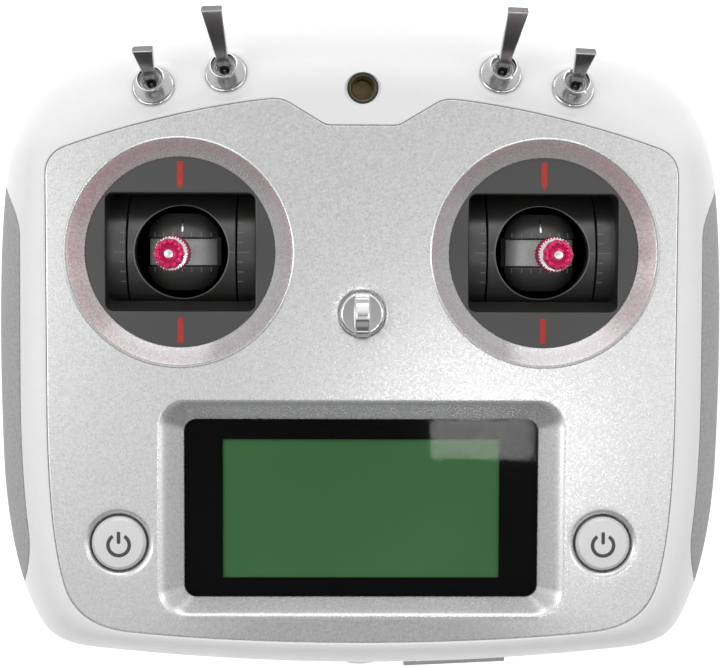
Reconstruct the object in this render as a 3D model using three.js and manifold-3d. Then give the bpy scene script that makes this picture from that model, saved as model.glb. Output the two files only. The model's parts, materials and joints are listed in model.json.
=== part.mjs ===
// A hand-held radio control transmitter, lying on its back with its face up.
// Millimetres. +X is the holder's right, +Y points to the top edge with the switches, +Z out of the face.
// Z = 0 is the surface that the two rear grips rest on.
import * as THREE from "three";
import { mergeVertices } from "three/addons/utils/BufferGeometryUtils.js";
import Module from "manifold-3d";

const wasm = await Module();
wasm.setup();

// ---- Driving dimensions ----------------------------------------------------------------------
const GAP = 0.3; // between pieces that touch or turn in one another
const WALL = 3; // shell wall
const FACE_Z = 56.5; // front of the faceplate
const RIM_Z = FACE_Z - 0.3; // flat of the white shell round the faceplate
const PARTING_Z = 36; // where the two shells meet, at the widest outline
const CENTRE_Y = 0.8; // moves the outline's middle so that the whole part is centred on the origin

const BODY_SIDES = 52; // facets round the body
const DOME_STEPS = 5; // rings from the faceplate's edge to the parting line
const REAR_STEPS = 8; // rings from the parting line to the middle of the back
const REAR_POWER = 2.6; // squareness of the rear profile
const REAR_BULGE = 50; // depth that the rear profile would reach without its flats
const BACK_Z = 14.5; // flat middle of the back
const LOBE_IN = 40; // the back falls from here ...
const LOBE_OUT = 54; // ... to here, to the grips' flats at Z = 0
const LOBE_SINK = 1.6; // the lobes' soft surface goes this far below Z = 0, where it is cut flat
const LOBE_INSET = 4; // the hollow's lobes are smaller by this all round
const LOBE_TOP = [14, 40]; // the grips' lobes fade out between these Y
const LOBE_BOTTOM = [-62, -46];
const BACK_RISE_Y = 52; // above this the back slopes up to the top edge
const BACK_RISE = 0.25;
const BACK_BLEND = 6; // softness of the join between flats and rounded rim

const PLATE_T = 2; // faceplate
const DECK_Z = FACE_Z - 4.4; // underside of the front shell's deck below the faceplate
const SEAT_Z = FACE_Z - PLATE_T - GAP; // top of that deck
const DECK_SCALE = 0.985;
const POCKET_SCALE = 1.0045; // faceplate pocket against faceplate

const GRIP_T = 1.4; // rubber skin let into the shells
const GRIP_GAP_SCALE = 1.012;

const GIMBAL = { x: 43.25, y: 23.1, depth: 21 }; // pivot below the face
const BOWL = { top: 26.6, bottom: 22.6, depth: 4.2, wall: 1.6 };
const BEZEL = { r: 25.4, t: 1.8, w: 35.5, h: 27.9, corner: 1.8, skirt: 1.25 };
const DRUM = { r: 15.2, wall: 1.3, half: 12.7, well: 11.3, dome: 13.2, slot: 7.1, cut: -5, pin: 1.7 };
const SLIDER = { r: 11.9, t: 0.9, w: 6.4, span: THREE.MathUtils.degToRad(46), boss: 3, axle: 1.5 };
const CAGE = { in: 19.4, out: 21.2, y: 15.6, bar: 1.7, plate: 10, low: -8 };
// Heights above the pivot.
const STICK = { shaft: 1.5, tip: 1, top: 45.3, crown: 41.3, rim: 39.9, foot: 38.5 };
const LOCKNUT = { top: 38.2, low: 33.5, teeth: 10 };
const KNOB = { crown: 3.55, root: 2.95, rim: 3.9, neck: 3.5, nut: 3.75, teeth: 12 };

const LENS = { y: -38.4, w: 88, h: 46, t: 1.4 };
const GLASS_WINDOW = { w: 85.2, h: 43.1 };
const SCREEN_RECESS = { w: 95.6, h: 50.6, y: -37.8, depth: 4.1 };
const LCD = { y: -38.7, w: 76, h: 42, t: 3.5 };

const POWER = { x: 57.8, y: -46.2, cap: 6.5, top: 5.8, hole: 6.95, flange: 7.6, proud: 0.5 };
const EYELET = { y: 8.7, disc: 5.25, recess: 6.15, bar: 3.4, out: 5.2, in: 3.1, spring: 4.2 };
const INSERT = { y: 61.9, out: 4.2, bore: 2.6, mouth: 3.5, length: 11 };

const SWITCH_TILT = THREE.MathUtils.degToRad(20);
const SWITCH_LEAN = THREE.MathUtils.degToRad(5);
const LEVER_THROW = THREE.MathUtils.degToRad(14);
const SWITCHES = [
  { name: "a", x: -49.3, y: 62.1, side: -1, reach: 12.2 },
  { name: "b", x: -32.2, y: 65.3, side: -1, reach: 21.2 },
  { name: "c", x: 32.5, y: 65.3, side: 1, reach: 21.2 },
  { name: "d", x: 49.7, y: 62.1, side: 1, reach: 12.2 },
];
const NUT = { flange: 5.15, foot: 4.8, rim: 3.3, mouth: 2.35, bore: 2.95, top: 4.5, step: 3.3 };
const SEAT = { r: 5.8, depth: 0.5, bore: 3.3 }; // the shell's recess round a switch
const BUSH = { r: 2.6, bore: 1.9, top: 3, floor: 0.3, case: 6 };
const LEVER_PIVOT = 2; // above the shell, on the switch's own axis
const LEVER = { foot: 1.2, neck: 1.35, neckZ: 3, tip: 2.45, half: 0.75, ball: 1.35 };

const SCREWS = [
  { name: "upper", x: 66, y: 44 },
  { name: "lower", x: 60, y: -62 },
];
const SCREW = { shank: 1.5, head: 2.8, headT: 2, clear: 1.8, well: 3.3, boss: 4.6, post: 3.4 };
const SCREW_SEAT_Z = 18; // under the heads
const SCREW_JOIN_Z = 30; // where the two shells' bosses meet

const CELL = { r: 7.1, length: 49.5, nub: 2.7, nubT: 1, pitch: 14.9, z: 24.4, low: -48.9 };
const BAY = { x: 30.6, low: -53.5, high: 2.5, top: 32, wall: 1.5 };
const COVER = { x: 33, low: -64, high: 6, t: 2, flare: 1 };

const DIAL = { x: 60, y: 56, z: 21.2, r: 8, half: 2.5, pin: 1.5, teeth: 14 };
const KEY = { x: 28, y: 48, w: 11.4, h: 7.4, proud: 1.2, flange: 1.3 };
const PORT = { x: 23.8, y: -79.15, z: 27, w: 25.6, h: 8.3, turn: THREE.MathUtils.degToRad(2.6) };
const SPEAKER = { y: 30, r: 9, t: 5 };

const ROUND = 24; // facets on a large turned piece
const MEDIUM = 16;
const SMALL = 10;
const VAST = 100; // beyond the body on every side

// ---- Solids ----------------------------------------------------------------------------------

// A closed geometry as a solid. Faces drawn pointing inwards are turned round.
function solid(geometry) {
  const bare = geometry.clone();
  bare.deleteAttribute("normal");
  bare.deleteAttribute("uv");
  const merged = mergeVertices(bare, 1e-4);
  const corners = merged.index.array;
  const build = (triVerts) =>
    new wasm.Manifold(
      new wasm.Mesh({ numProp: 3, vertProperties: merged.attributes.position.array, triVerts }),
    );
  const made = build(new Uint32Array(corners));
  return made.volume() > 0 ? made : build(new Uint32Array(corners).reverse());
}

function geometryOf(body) {
  const { vertProperties, triVerts } = body.getMesh();
  const geometry = new THREE.BufferGeometry();
  geometry.setAttribute("position", new THREE.BufferAttribute(new Float32Array(vertProperties), 3));
  geometry.setIndex(new THREE.BufferAttribute(new Uint32Array(triVerts), 1));
  const faceted = geometry.toNonIndexed();
  faceted.computeVertexNormals();
  return faceted;
}

const join = (...bodies) => bodies.reduce((whole, body) => whole.add(body));
const cut = (body, ...tools) => tools.reduce((left, tool) => left.subtract(tool), body);
const moved = (body, x, y, z = 0) => body.translate([x, y, z]);
const placed = (body, matrix) => body.transform(matrix.elements);

function box(x0, x1, y0, y1, z0, z1) {
  const geometry = new THREE.BoxGeometry(x1 - x0, y1 - y0, z1 - z0);
  return solid(geometry.translate((x0 + x1) / 2, (y0 + y1) / 2, (z0 + z1) / 2));
}

// A box that is centred on X and Y.
const block = (w, h, z0, z1) => box(-w / 2, w / 2, -h / 2, h / 2, z0, z1);

// A cone or cylinder on the Z axis, from z0 with radius r0 to z1 with radius r1.
function taper(r0, r1, z0, z1, sides = ROUND) {
  const geometry = new THREE.CylinderGeometry(r1, r0, z1 - z0, sides);
  return solid(geometry.rotateX(Math.PI / 2).translate(0, 0, (z0 + z1) / 2));
}

const rod = (r, z0, z1, sides = ROUND) => taper(r, r, z0, z1, sides);
const rodX = (r, x0, x1, sides = ROUND) => rod(r, x0, x1, sides).rotate([0, 90, 0]);
const rodY = (r, y0, y1, sides = ROUND) => rod(r, -y1, -y0, sides).rotate([90, 0, 0]);

// A closed profile of [radius, z] points turned about the Z axis.
function turned(profile, sides = ROUND) {
  const points = profile.map(([r, z]) => new THREE.Vector2(r, z));
  return solid(new THREE.LatheGeometry(points, sides).rotateX(Math.PI / 2));
}

function extruded(shape, z0, z1, curveSegments = 5) {
  const geometry = new THREE.ExtrudeGeometry(shape, { depth: z1 - z0, bevelEnabled: false, curveSegments });
  return solid(geometry.translate(0, 0, z0));
}

function roundedRectangle(w, h, r) {
  const shape = new THREE.Shape();
  shape.moveTo(w / 2, -h / 2 + r);
  shape.lineTo(w / 2, h / 2 - r);
  shape.absarc(w / 2 - r, h / 2 - r, r, 0, Math.PI / 2);
  shape.absarc(-w / 2 + r, h / 2 - r, r, Math.PI / 2, Math.PI);
  shape.absarc(-w / 2 + r, -h / 2 + r, r, Math.PI, 1.5 * Math.PI);
  shape.absarc(w / 2 - r, -h / 2 + r, r, 1.5 * Math.PI, 2 * Math.PI);
  return shape;
}

// A star of blunt teeth, for knurled and fluted edges.
function toothedShape(tip, root, teeth) {
  const shape = new THREE.Shape();
  for (let i = 0; i < teeth * 4; i++) {
    const angle = ((i + 0.5) / (teeth * 4)) * 2 * Math.PI;
    const r = i % 4 < 2 ? tip : root;
    shape[i ? "lineTo" : "moveTo"](r * Math.cos(angle), r * Math.sin(angle));
  }
  return shape;
}

// A pyramid-like funnel between two rounded rectangles, w0 by h0 at z0 and w1 by h1 at z1.
function funnel(w0, h0, z0, w1, h1, z1, corner) {
  const geometry = new THREE.ExtrudeGeometry(roundedRectangle(w0, h0, corner), {
    depth: 1,
    bevelEnabled: false,
    curveSegments: 3,
  });
  const place = geometry.attributes.position;
  for (let i = 0; i < place.count; i++) {
    const top = place.getZ(i) > 0.5;
    const shrinkX = top ? w1 / w0 : 1;
    const shrinkY = top ? h1 / h0 : 1;
    place.setXYZ(i, place.getX(i) * shrinkX, place.getY(i) * shrinkY, top ? z1 : z0);
  }
  return solid(geometry);
}

// ---- The body's outlines and surfaces -----------------------------------------------------------

// The right half of the widest outline, from the top middle round to the bottom middle.
function bodyHalf() {
  const path = new THREE.Path();
  path.moveTo(0, 79.9);
  path.bezierCurveTo(30, 79.9, 52, 75, 66, 70);
  path.bezierCurveTo(80, 65.4, 83.5, 56, 86.5, 44);
  path.bezierCurveTo(89.3, 28, 89.3, -5, 88.3, -30);
  path.bezierCurveTo(87.4, -46, 84.5, -60, 79, -69);
  path.bezierCurveTo(76.4, -73, 72, -74.8, 66, -75.4);
  path.bezierCurveTo(45, -78, 22, -79.7, 0, -79.7);
  return path;
}

// The lower part of the faceplate's right half, from its upper corner down.
function plateFlank(path) {
  path.bezierCurveTo(73, 47, 74.6, 44.5, 74.6, 41);
  path.lineTo(74.6, -12);
  path.bezierCurveTo(74.6, -32, 73.4, -48, 70.5, -57);
  path.bezierCurveTo(68.4, -63.5, 63, -66.8, 55, -67.6);
  path.bezierCurveTo(40, -69.3, 20, -70.3, 0, -70.3);
  return path;
}

// The edge of the body's flat front: the faceplate's outline without its notch.
function flatHalf() {
  const path = new THREE.Path();
  path.moveTo(0, 60.6);
  path.bezierCurveTo(25, 60, 50, 55, 69, 48.2);
  return plateFlank(path);
}

// The faceplate's right half, with the notch below the phone holder's insert.
function plateHalf() {
  const path = new THREE.Path();
  path.moveTo(0, 53.1);
  path.lineTo(8.4, 53.1);
  path.lineTo(18, 58.7);
  path.quadraticCurveTo(19.6, 59.7, 21.4, 59.4);
  path.bezierCurveTo(36, 57.8, 55, 53.2, 69, 48.2);
  return plateFlank(path);
}

// Both halves of an outline as a shape.
function wholeShape(half, scale = 1, divisions = 5) {
  const right = half.getPoints(divisions).map((p) => p.multiplyScalar(scale));
  const left = right
    .slice(1, -1)
    .map((p) => new THREE.Vector2(-p.x, p.y))
    .reverse();
  return new THREE.Shape([...right, ...left]);
}

// The outline's radius at each facet's angle, measured from the top middle towards +X.
function radii(half) {
  const points = half.getPoints(40).map((p) => ({ angle: Math.atan2(p.x, p.y), r: p.length() }));
  const at = (angle) => {
    const i = Math.max(1, points.findIndex((p) => p.angle >= angle - 1e-9));
    const [low, high] = [points[i - 1], points[i]];
    const t = (angle - low.angle) / Math.max(1e-9, high.angle - low.angle);
    return low.r + (high.r - low.r) * t;
  };
  const step = (2 * Math.PI) / BODY_SIDES;
  return Array.from({ length: BODY_SIDES }, (_, i) => at(step * Math.min(i, BODY_SIDES - i)));
}

const OUTER = radii(bodyHalf());
const FLAT = radii(flatHalf());

const smooth = (a, b, x) => THREE.MathUtils.smoothstep(x, a, b);

function softMax(a, b, reach) {
  const near = Math.max(reach - Math.abs(a - b), 0) / reach;
  return Math.max(a, b) + (near * near * reach) / 4;
}

// Height of the back at a place, u being its share of the way from the middle to the outline.
// The lobes shrink all round by the length shrink.
function backHeight(x, y, u, shrink) {
  const rim = PARTING_Z - REAR_BULGE * (1 - u ** REAR_POWER) ** (1 / REAR_POWER);
  const across = smooth(LOBE_IN, LOBE_OUT, Math.abs(x) - shrink);
  const along = smooth(...LOBE_BOTTOM, y - shrink) * (1 - smooth(...LOBE_TOP, y + shrink));
  const lobe = across * along;
  const flat = BACK_Z * (1 - lobe) - LOBE_SINK * lobe + BACK_RISE * Math.max(0, y - BACK_RISE_Y);
  return softMax(rim, flat, BACK_BLEND);
}

// The body's outer form moved inwards by inset: a flat front, a domed shoulder and the lobed back.
// A coarse one, for hidden walls, has every second facet and fewer rings.
function bodySolid(inset, coarse = false) {
  const stride = coarse ? 2 : 1;
  const sides = BODY_SIDES / stride;
  const domeSteps = coarse ? 3 : DOME_STEPS;
  const rearSteps = coarse ? 7 : REAR_STEPS;
  const positions = [];
  const index = [];
  const angle = (i) => (i / BODY_SIDES) * 2 * Math.PI;
  const ring = (place) => {
    for (let i = 0; i < BODY_SIDES; i += stride) positions.push(...place(i));
  };
  for (let k = 0; k <= domeSteps; k++) {
    const u = Math.sin((k / domeSteps) * (Math.PI / 2));
    const z = PARTING_Z + (RIM_Z - inset - PARTING_Z) * Math.sqrt(1 - u * u);
    ring((i) => {
      const r = FLAT[i] + (OUTER[i] - inset - FLAT[i]) * u;
      return [r * Math.sin(angle(i)), r * Math.cos(angle(i)), z];
    });
  }
  for (let k = 1; k < rearSteps; k++) {
    const u = Math.cos((k / rearSteps) * (Math.PI / 2)) ** 0.8;
    ring((i) => {
      const [x, y] = [OUTER[i] * u * Math.sin(angle(i)), OUTER[i] * u * Math.cos(angle(i))];
      const share = 1 - inset / OUTER[i];
      return [x * share, y * share, backHeight(x, y, u, coarse ? LOBE_INSET : 0) + inset];
    });
  }
  const front = positions.length / 3;
  const rings = front / sides;
  positions.push(0, 0, RIM_Z - inset);
  positions.push(0, 0, BACK_Z + inset);
  for (let i = 0; i < sides; i++) {
    const next = (i + 1) % sides;
    for (let k = 0; k + 1 < rings; k++) {
      const [a, b] = [k * sides + i, k * sides + next];
      index.push(a, b, b + sides, a, b + sides, a + sides);
    }
    const last = (rings - 1) * sides;
    index.push(front, next, i, front + 1, last + i, last + next);
  }
  const geometry = new THREE.BufferGeometry();
  geometry.setAttribute("position", new THREE.Float32BufferAttribute(positions, 3));
  geometry.setIndex(index);
  return solid(geometry);
}

// Height of the body's shoulder at a place outside its flat front.
function shoulderHeight(x, y) {
  const place = ((Math.atan2(Math.abs(x), y) / Math.PI) * BODY_SIDES) / 2;
  const [i, t] = [Math.floor(place), place % 1];
  const between = (list) => list[i] + (list[i + 1] - list[i]) * t;
  const u = (Math.hypot(x, y) - between(FLAT)) / (between(OUTER) - between(FLAT));
  return PARTING_Z + (RIM_Z - PARTING_Z) * Math.sqrt(1 - Math.max(0, u) ** 2);
}

// The side of the body that a rubber grip covers, side being -1 or 1.
function gripRegion(side, scale = 1) {
  const above = new THREE.Shape();
  above.moveTo(95, 41);
  above.lineTo(86.8, 39.5);
  above.lineTo(83.4, 31);
  above.lineTo(83.2, -15);
  above.quadraticCurveTo(83.2, -30, 81.2, -44);
  above.lineTo(81, -51);
  above.lineTo(84, -60.5);
  above.lineTo(95, -63);
  const below = new THREE.Shape();
  below.moveTo(95, 41);
  below.lineTo(86.8, 39.5);
  below.quadraticCurveTo(58, 37, 56, 8);
  below.lineTo(56, -28);
  below.quadraticCurveTo(58, -56, 84, -60.5);
  below.lineTo(95, -63);
  const region = join(extruded(above, PARTING_Z - 0.1, FACE_Z + 5, 4), extruded(below, -5, PARTING_Z, 8));
  const centre = [100, -10];
  const sized = moved(moved(region, -centre[0], -centre[1]).scale([scale, scale, 1]), ...centre);
  return side > 0 ? sized : sized.mirror([1, 0, 0]);
}

// ---- Housing --------------------------------------------------------------------------------------

// Everything between two heights.
const layer = (low, high) => box(-VAST, VAST, -VAST, VAST, low, high);

// The body moved inwards by inset, with its lobes cut flat at the bottom.
const restingBody = (inset, coarse = false) => bodySolid(inset, coarse).intersect(layer(inset, VAST));

const outerBody = restingBody(0);
const switchFrame = ({ x, y, side }) => {
  const turn = new THREE.Euler(-SWITCH_TILT, side * SWITCH_LEAN, 0);
  const frame = new THREE.Matrix4().makeRotationFromEuler(turn);
  return frame.setPosition(x, y, shoulderHeight(x, y));
};

// Both shells in one, hollow, with the grips' shallow pockets.
function hollowBody() {
  const pocketFloor = restingBody(GRIP_T + GAP);
  const pockets = join(...[-1, 1].map((side) => gripRegion(side, GRIP_GAP_SCALE))).subtract(pocketFloor);
  return cut(outerBody, restingBody(WALL, true), pockets);
}

const hollow = hollowBody();
const bothSides = (make) => join(make(-1), make(1));

function frontShell() {
  const deck = extruded(wholeShape(flatHalf(), DECK_SCALE), DECK_Z, SEAT_Z + 0.5);
  const posts = SCREWS.map(({ x, y }) =>
    bothSides((side) => moved(rod(SCREW.post, SCREW_JOIN_Z, DECK_Z + 1, SMALL), side * x, y)),
  );
  const pilots = SCREWS.map(({ x, y }) =>
    bothSides((side) => moved(rod(SCREW.clear, SCREW_JOIN_Z - 1, DECK_Z - 4, SMALL), side * x, y)),
  );
  const upper = hollow.intersect(layer(PARTING_Z + GAP / 2, FACE_Z));
  const pocket = extruded(wholeShape(plateHalf(), POCKET_SCALE), SEAT_Z, FACE_Z + 1);
  const bowls = bothSides((side) => moved(rod(BOWL.top + 2, 40, 60), side * GIMBAL.x, GIMBAL.y));
  const screen = moved(block(SCREEN_RECESS.w + 1.6, SCREEN_RECESS.h + 1.6, 40, 60), 0, SCREEN_RECESS.y);
  const buttons = bothSides((side) => moved(rod(POWER.hole + 0.2, 40, 60, SMALL), side * POWER.x, POWER.y));
  const eyeletHole = moved(rod(2.4, 40, 60, SMALL), 0, EYELET.y);
  const insertHole = moved(rod(INSERT.out + GAP, 40, 60, SMALL), 0, INSERT.y);
  const insertBoss = moved(rod(INSERT.out + 2, FACE_Z - INSERT.length, RIM_Z - 1, SMALL), 0, INSERT.y);
  const seat = join(rod(SEAT.r, -SEAT.depth, 8, MEDIUM), rod(SEAT.bore, -BUSH.case, 0, SMALL));
  const seats = SWITCHES.map((place) => placed(seat, switchFrame(place)));
  const solidShell = join(upper, deck, insertBoss, ...posts);
  return cut(solidShell, pocket, bowls, screen, buttons, eyeletHole, insertHole, ...pilots, ...seats);
}

function rearShell() {
  const bottom = hollow.intersect(layer(-1, PARTING_Z - GAP / 2));
  const { x, low, high, top, wall } = BAY;
  const tray = box(-x - wall, x + wall, low - wall, high + wall, BACK_Z, top + wall);
  const bay = box(-x, x, low, high, BACK_Z - 1, top);
  const coverSeat = batteryCover(GAP, 20);
  const bosses = SCREWS.map(({ x, y }) =>
    bothSides((side) => moved(rod(SCREW.boss, 0, SCREW_JOIN_Z - GAP, SMALL), side * x, y)),
  );
  const holes = SCREWS.map(({ x, y }) =>
    bothSides((side) =>
      moved(join(rod(SCREW.clear, 0, 40, SMALL), rod(SCREW.well, -1, SCREW_SEAT_Z, SMALL)), side * x, y),
    ),
  );
  const atDials = (body) => bothSides((side) => moved(body, side * DIAL.x, DIAL.y));
  const dialSlots = atDials(block(2 * DIAL.half + 0.8, 2 * DIAL.r + 1.2, 5, 31));
  const dialEars = atDials(join(box(-4.8, -3.2, -3.2, 3.2, 16, 24.5), box(3.2, 4.8, -3.2, 3.2, 16, 24.5)));
  const dialBores = atDials(moved(rodX(DIAL.pin + GAP, -6, 6, SMALL), 0, 0, DIAL.z));
  const keyRoom = join(
    block(KEY.w + 2 * GAP, KEY.h + 2 * GAP, 5, 22),
    block(KEY.w + 3.4, KEY.h + 3.4, BACK_Z + WALL, 24),
  );
  const keyHoles = bothSides((side) => moved(keyRoom, side * KEY.x, KEY.y));
  const bumpShape = new THREE.Shape();
  bumpShape.moveTo(-7.2, -76);
  bumpShape.lineTo(-6.2, -80.4);
  bumpShape.quadraticCurveTo(0, -82.8, 6.2, -80.4);
  bumpShape.lineTo(7.2, -76);
  const bump = extruded(bumpShape, 24, 34);
  const portFrame = portMatrix();
  const portPocket = placed(box(-PORT.w / 2 + 1, PORT.w / 2 - 1, -0.5, 2.1, 1.9, 8), portFrame);
  const portHole = placed(box(-5, 5, 0, 6, 1.8, 6.6), portFrame);
  const solidShell = join(bottom, tray, dialEars, bump, ...bosses.map((boss) => boss.intersect(outerBody)));
  return cut(solidShell, bay, coverSeat, dialSlots, dialBores, keyHoles, portPocket, portHole, ...holes);
}

function faceplate() {
  const plate = extruded(wholeShape(plateHalf()), FACE_Z - PLATE_T, FACE_Z);
  const floor = FACE_Z - BOWL.depth;
  const atGimbals = (body) => bothSides((side) => moved(body, side * GIMBAL.x, GIMBAL.y));
  const bowlWalls = atGimbals(taper(BOWL.bottom + BOWL.wall, BOWL.top + BOWL.wall, floor, FACE_Z - 0.5));
  const bowlCone = taper(BOWL.bottom, BOWL.top, floor, FACE_Z);
  const bowls = atGimbals(
    join(bowlCone, rod(BOWL.bottom, floor - 1, floor + 0.1), rod(BOWL.top, FACE_Z, FACE_Z + 1)),
  );
  const { w, h, y, depth } = SCREEN_RECESS;
  const low = FACE_Z - depth;
  const rim = 1.2;
  const frameWall = moved(
    funnel(GLASS_WINDOW.w + 2.4, GLASS_WINDOW.h + 2.4, low, w + rim, h + rim, FACE_Z - 0.5, 2.6),
    0,
    y,
  );
  const recess = join(
    moved(funnel(GLASS_WINDOW.w, GLASS_WINDOW.h, low - 0.1, w, h, FACE_Z + 0.1, 2.4), 0, y),
    moved(block(GLASS_WINDOW.w - 1, GLASS_WINDOW.h - 1, low - 2, low + 1), 0, y),
  );
  const buttons = bothSides((side) => moved(rod(POWER.hole, 40, 60), side * POWER.x, POWER.y));
  const eyelet = moved(join(rod(2.4, 40, 60, SMALL), rod(EYELET.recess, FACE_Z - 0.8, 60)), 0, EYELET.y);
  return cut(join(plate, bowlWalls, frameWall), bowls, recess, buttons, eyelet);
}

const grip = (side) => outerBody.intersect(gripRegion(side)).subtract(restingBody(GRIP_T));

// The dovetailed sliding cover. For the seat that it slides in, extra grows it and run carries it on
// past its lower end.
function batteryCover(extra = 0, run = 0) {
  const shape = new THREE.Shape();
  shape.moveTo(-COVER.x + COVER.flare - extra, BACK_Z);
  shape.lineTo(COVER.x - COVER.flare + extra, BACK_Z);
  shape.lineTo(COVER.x + extra, BACK_Z + COVER.t + extra);
  shape.lineTo(-COVER.x - extra, BACK_Z + COVER.t + extra);
  const high = COVER.high + extra;
  const low = COVER.low - run;
  return extruded(shape, -high, -low).rotate([90, 0, 0]);
}

function ribbedCover() {
  const ribs = [0, 1, 2, 3, 4].map((i) => box(-9, 9, -56 + i * 3, -54.8 + i * 3, BACK_Z - 0.6, BACK_Z + 0.5));
  return join(batteryCover(), ...ribs);
}

// The frame of the port cover: its hinge line on the lower wall, X along the wall and Y into it.
function portMatrix() {
  return new THREE.Matrix4().makeRotationZ(PORT.turn).setPosition(PORT.x, PORT.y, PORT.z);
}

function portCover() {
  const skin = box(-PORT.w / 2, PORT.w / 2, -1.2, -0.45, 0, PORT.h);
  const plug = box(-PORT.w / 2 + 1.6, PORT.w / 2 - 1.6, -0.6, 1.2, 2.5, 7.1);
  return placed(join(skin, plug), portMatrix());
}

const screenLens = () =>
  moved(extruded(roundedRectangle(LENS.w, LENS.h, 2), FACE_Z - 4.4 - LENS.t, FACE_Z - 4.4, 4), 0, LENS.y);

function lcdModule() {
  const top = FACE_Z - 6.1;
  const panel = moved(block(LCD.w, LCD.h, top - LCD.t, top), 0, LCD.y);
  const ribbon = box(-12, 12, LCD.y - LCD.h / 2 - 3, LCD.y - LCD.h / 2 + 1, top - LCD.t, top - LCD.t + 0.8);
  return join(panel, ribbon);
}

// A chrome stud with an arched loop for a neck strap's hook.
function strapEyelet() {
  const disc = rod(EYELET.disc, FACE_Z - 0.5, FACE_Z + 1.5);
  const stem = rod(2, FACE_Z - 8, FACE_Z, SMALL);
  const shape = new THREE.Shape();
  shape.moveTo(EYELET.out, 0);
  shape.absarc(0, EYELET.spring, EYELET.out, 0, Math.PI);
  shape.lineTo(-EYELET.out, 0);
  shape.lineTo(-EYELET.in, 0);
  shape.absarc(0, EYELET.spring, EYELET.in, Math.PI, 0, true);
  shape.lineTo(EYELET.in, 0);
  const arch = extruded(shape, -EYELET.bar / 2, EYELET.bar / 2)
    .rotate([90, 0, 0])
    .rotate([0, 0, 90]);
  return moved(join(disc, stem, moved(arch, 0, 0, FACE_Z)), 0, EYELET.y);
}

function phoneMountInsert() {
  const top = RIM_Z - 0.2;
  const low = FACE_Z - INSERT.length;
  const profile = [
    [INSERT.bore, low],
    [INSERT.out, low],
    [INSERT.out, top],
    [INSERT.mouth, top],
    [INSERT.bore, top - 0.9],
    [INSERT.bore, low],
  ];
  return moved(turned(profile, MEDIUM), 0, INSERT.y);
}

// ---- Inside ---------------------------------------------------------------------------------------

function mainBoard() {
  const top = FACE_Z - 11.4;
  const board = join(box(-60, 60, -53, 3, top - 1.6, top), box(-18, 18, 2, 46, top - 1.6, top));
  const tacts = bothSides((side) => moved(block(6, 6, top - 0.5, top + 4), side * POWER.x, POWER.y));
  const shield = box(-12, 12, 14, 34, top - 0.5, top + 2.6);
  const chip = box(-8, 8, -22, -6, top - 3, top - 1);
  const plugs = [-34, -20, 20, 34].map((x) => box(x - 4, x + 4, -4, 2, top - 6, top - 1));
  return join(board, tacts, shield, chip, ...plugs);
}

function portBoard() {
  const place = portMatrix();
  const board = box(-9, 9, 5.8, 17, 1.2, 2.6);
  const socket = box(-3.8, 3.8, 3.2, 8.8, 2.2, 5.2);
  return placed(join(board, socket), place);
}

const antenna = (side) => {
  const bar = join(box(12, 50, 66, 67.2, 27, 34), box(44, 50, 60, 66.5, 27, 28.2));
  return side > 0 ? bar : bar.mirror([1, 0, 0]);
};

function speaker() {
  const low = BACK_Z + WALL + GAP;
  const can = join(rod(SPEAKER.r, low, low + 3), rod(SPEAKER.r - 2.5, low + 2, low + SPEAKER.t, SMALL));
  return moved(can, 0, SPEAKER.y);
}

// One AA cell with its button end up, or down where turnedOver.
function batteryCell(column, turnedOver) {
  const nub = rodY(CELL.nub, CELL.length - 1, CELL.length + CELL.nubT, SMALL);
  const cell = join(rodY(CELL.r, 0, CELL.length), nub);
  const set = turnedOver ? moved(cell.mirror([0, 1, 0]), 0, CELL.length + CELL.nubT) : cell;
  return moved(set, (column - 1.5) * CELL.pitch, CELL.low, CELL.z);
}

// A contact strip: a plate with a spring cone for each cell whose flat end meets it.
function contactStrip(y, towards, springColumns) {
  const plate = moved(block(4 * CELL.pitch - 1, 0.5, CELL.z - 6, CELL.z + 6), 0, y);
  const springs = springColumns.map((column) => {
    const cone = taper(4.5, 3, 0, 2.6, SMALL).rotate([towards > 0 ? -90 : 90, 0, 0]);
    return moved(cone, (column - 1.5) * CELL.pitch, y, CELL.z);
  });
  return join(plate, ...springs);
}

function screw(x, y) {
  const head = rod(SCREW.head, SCREW_SEAT_Z - SCREW.headT - GAP, SCREW_SEAT_Z - GAP, SMALL);
  const shank = rod(SCREW.shank, SCREW_SEAT_Z - 1, 40, SMALL);
  const cross = join(block(3.4, 0.9, 0, SCREW_SEAT_Z - 1.3), block(0.9, 3.4, 0, SCREW_SEAT_Z - 1.3));
  return moved(cut(join(head, shank), cross), x, y);
}

// ---- Controls -------------------------------------------------------------------------------------

function powerButton(side) {
  const profile = [
    [0, FACE_Z - 6.2],
    [2, FACE_Z - 6.2],
    [2, FACE_Z - 5.7],
    [POWER.flange, FACE_Z - 5.7],
    [POWER.flange, FACE_Z - 4.7],
    [POWER.cap, FACE_Z - 4.7],
    [POWER.cap, FACE_Z - 0.2],
    [POWER.top, FACE_Z + POWER.proud],
    [0, FACE_Z + POWER.proud],
  ];
  return moved(turned(profile, MEDIUM), side * POWER.x, POWER.y);
}

function thumbDial(side) {
  const outline = toothedShape(DIAL.r, DIAL.r - 0.5, DIAL.teeth);
  const tread = extruded(outline, -DIAL.half, DIAL.half).rotate([0, 90, 0]);
  return moved(join(tread, rodX(DIAL.pin, -5.2, 5.2, SMALL)), side * DIAL.x, DIAL.y, DIAL.z);
}

function rearKey(side) {
  const inside = BACK_Z + WALL + GAP;
  const cap = block(KEY.w, KEY.h, BACK_Z - KEY.proud, inside);
  const flange = block(KEY.w + 2.6, KEY.h + 2.6, inside, inside + KEY.flange);
  return moved(join(cap, flange), side * KEY.x, KEY.y);
}

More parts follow.
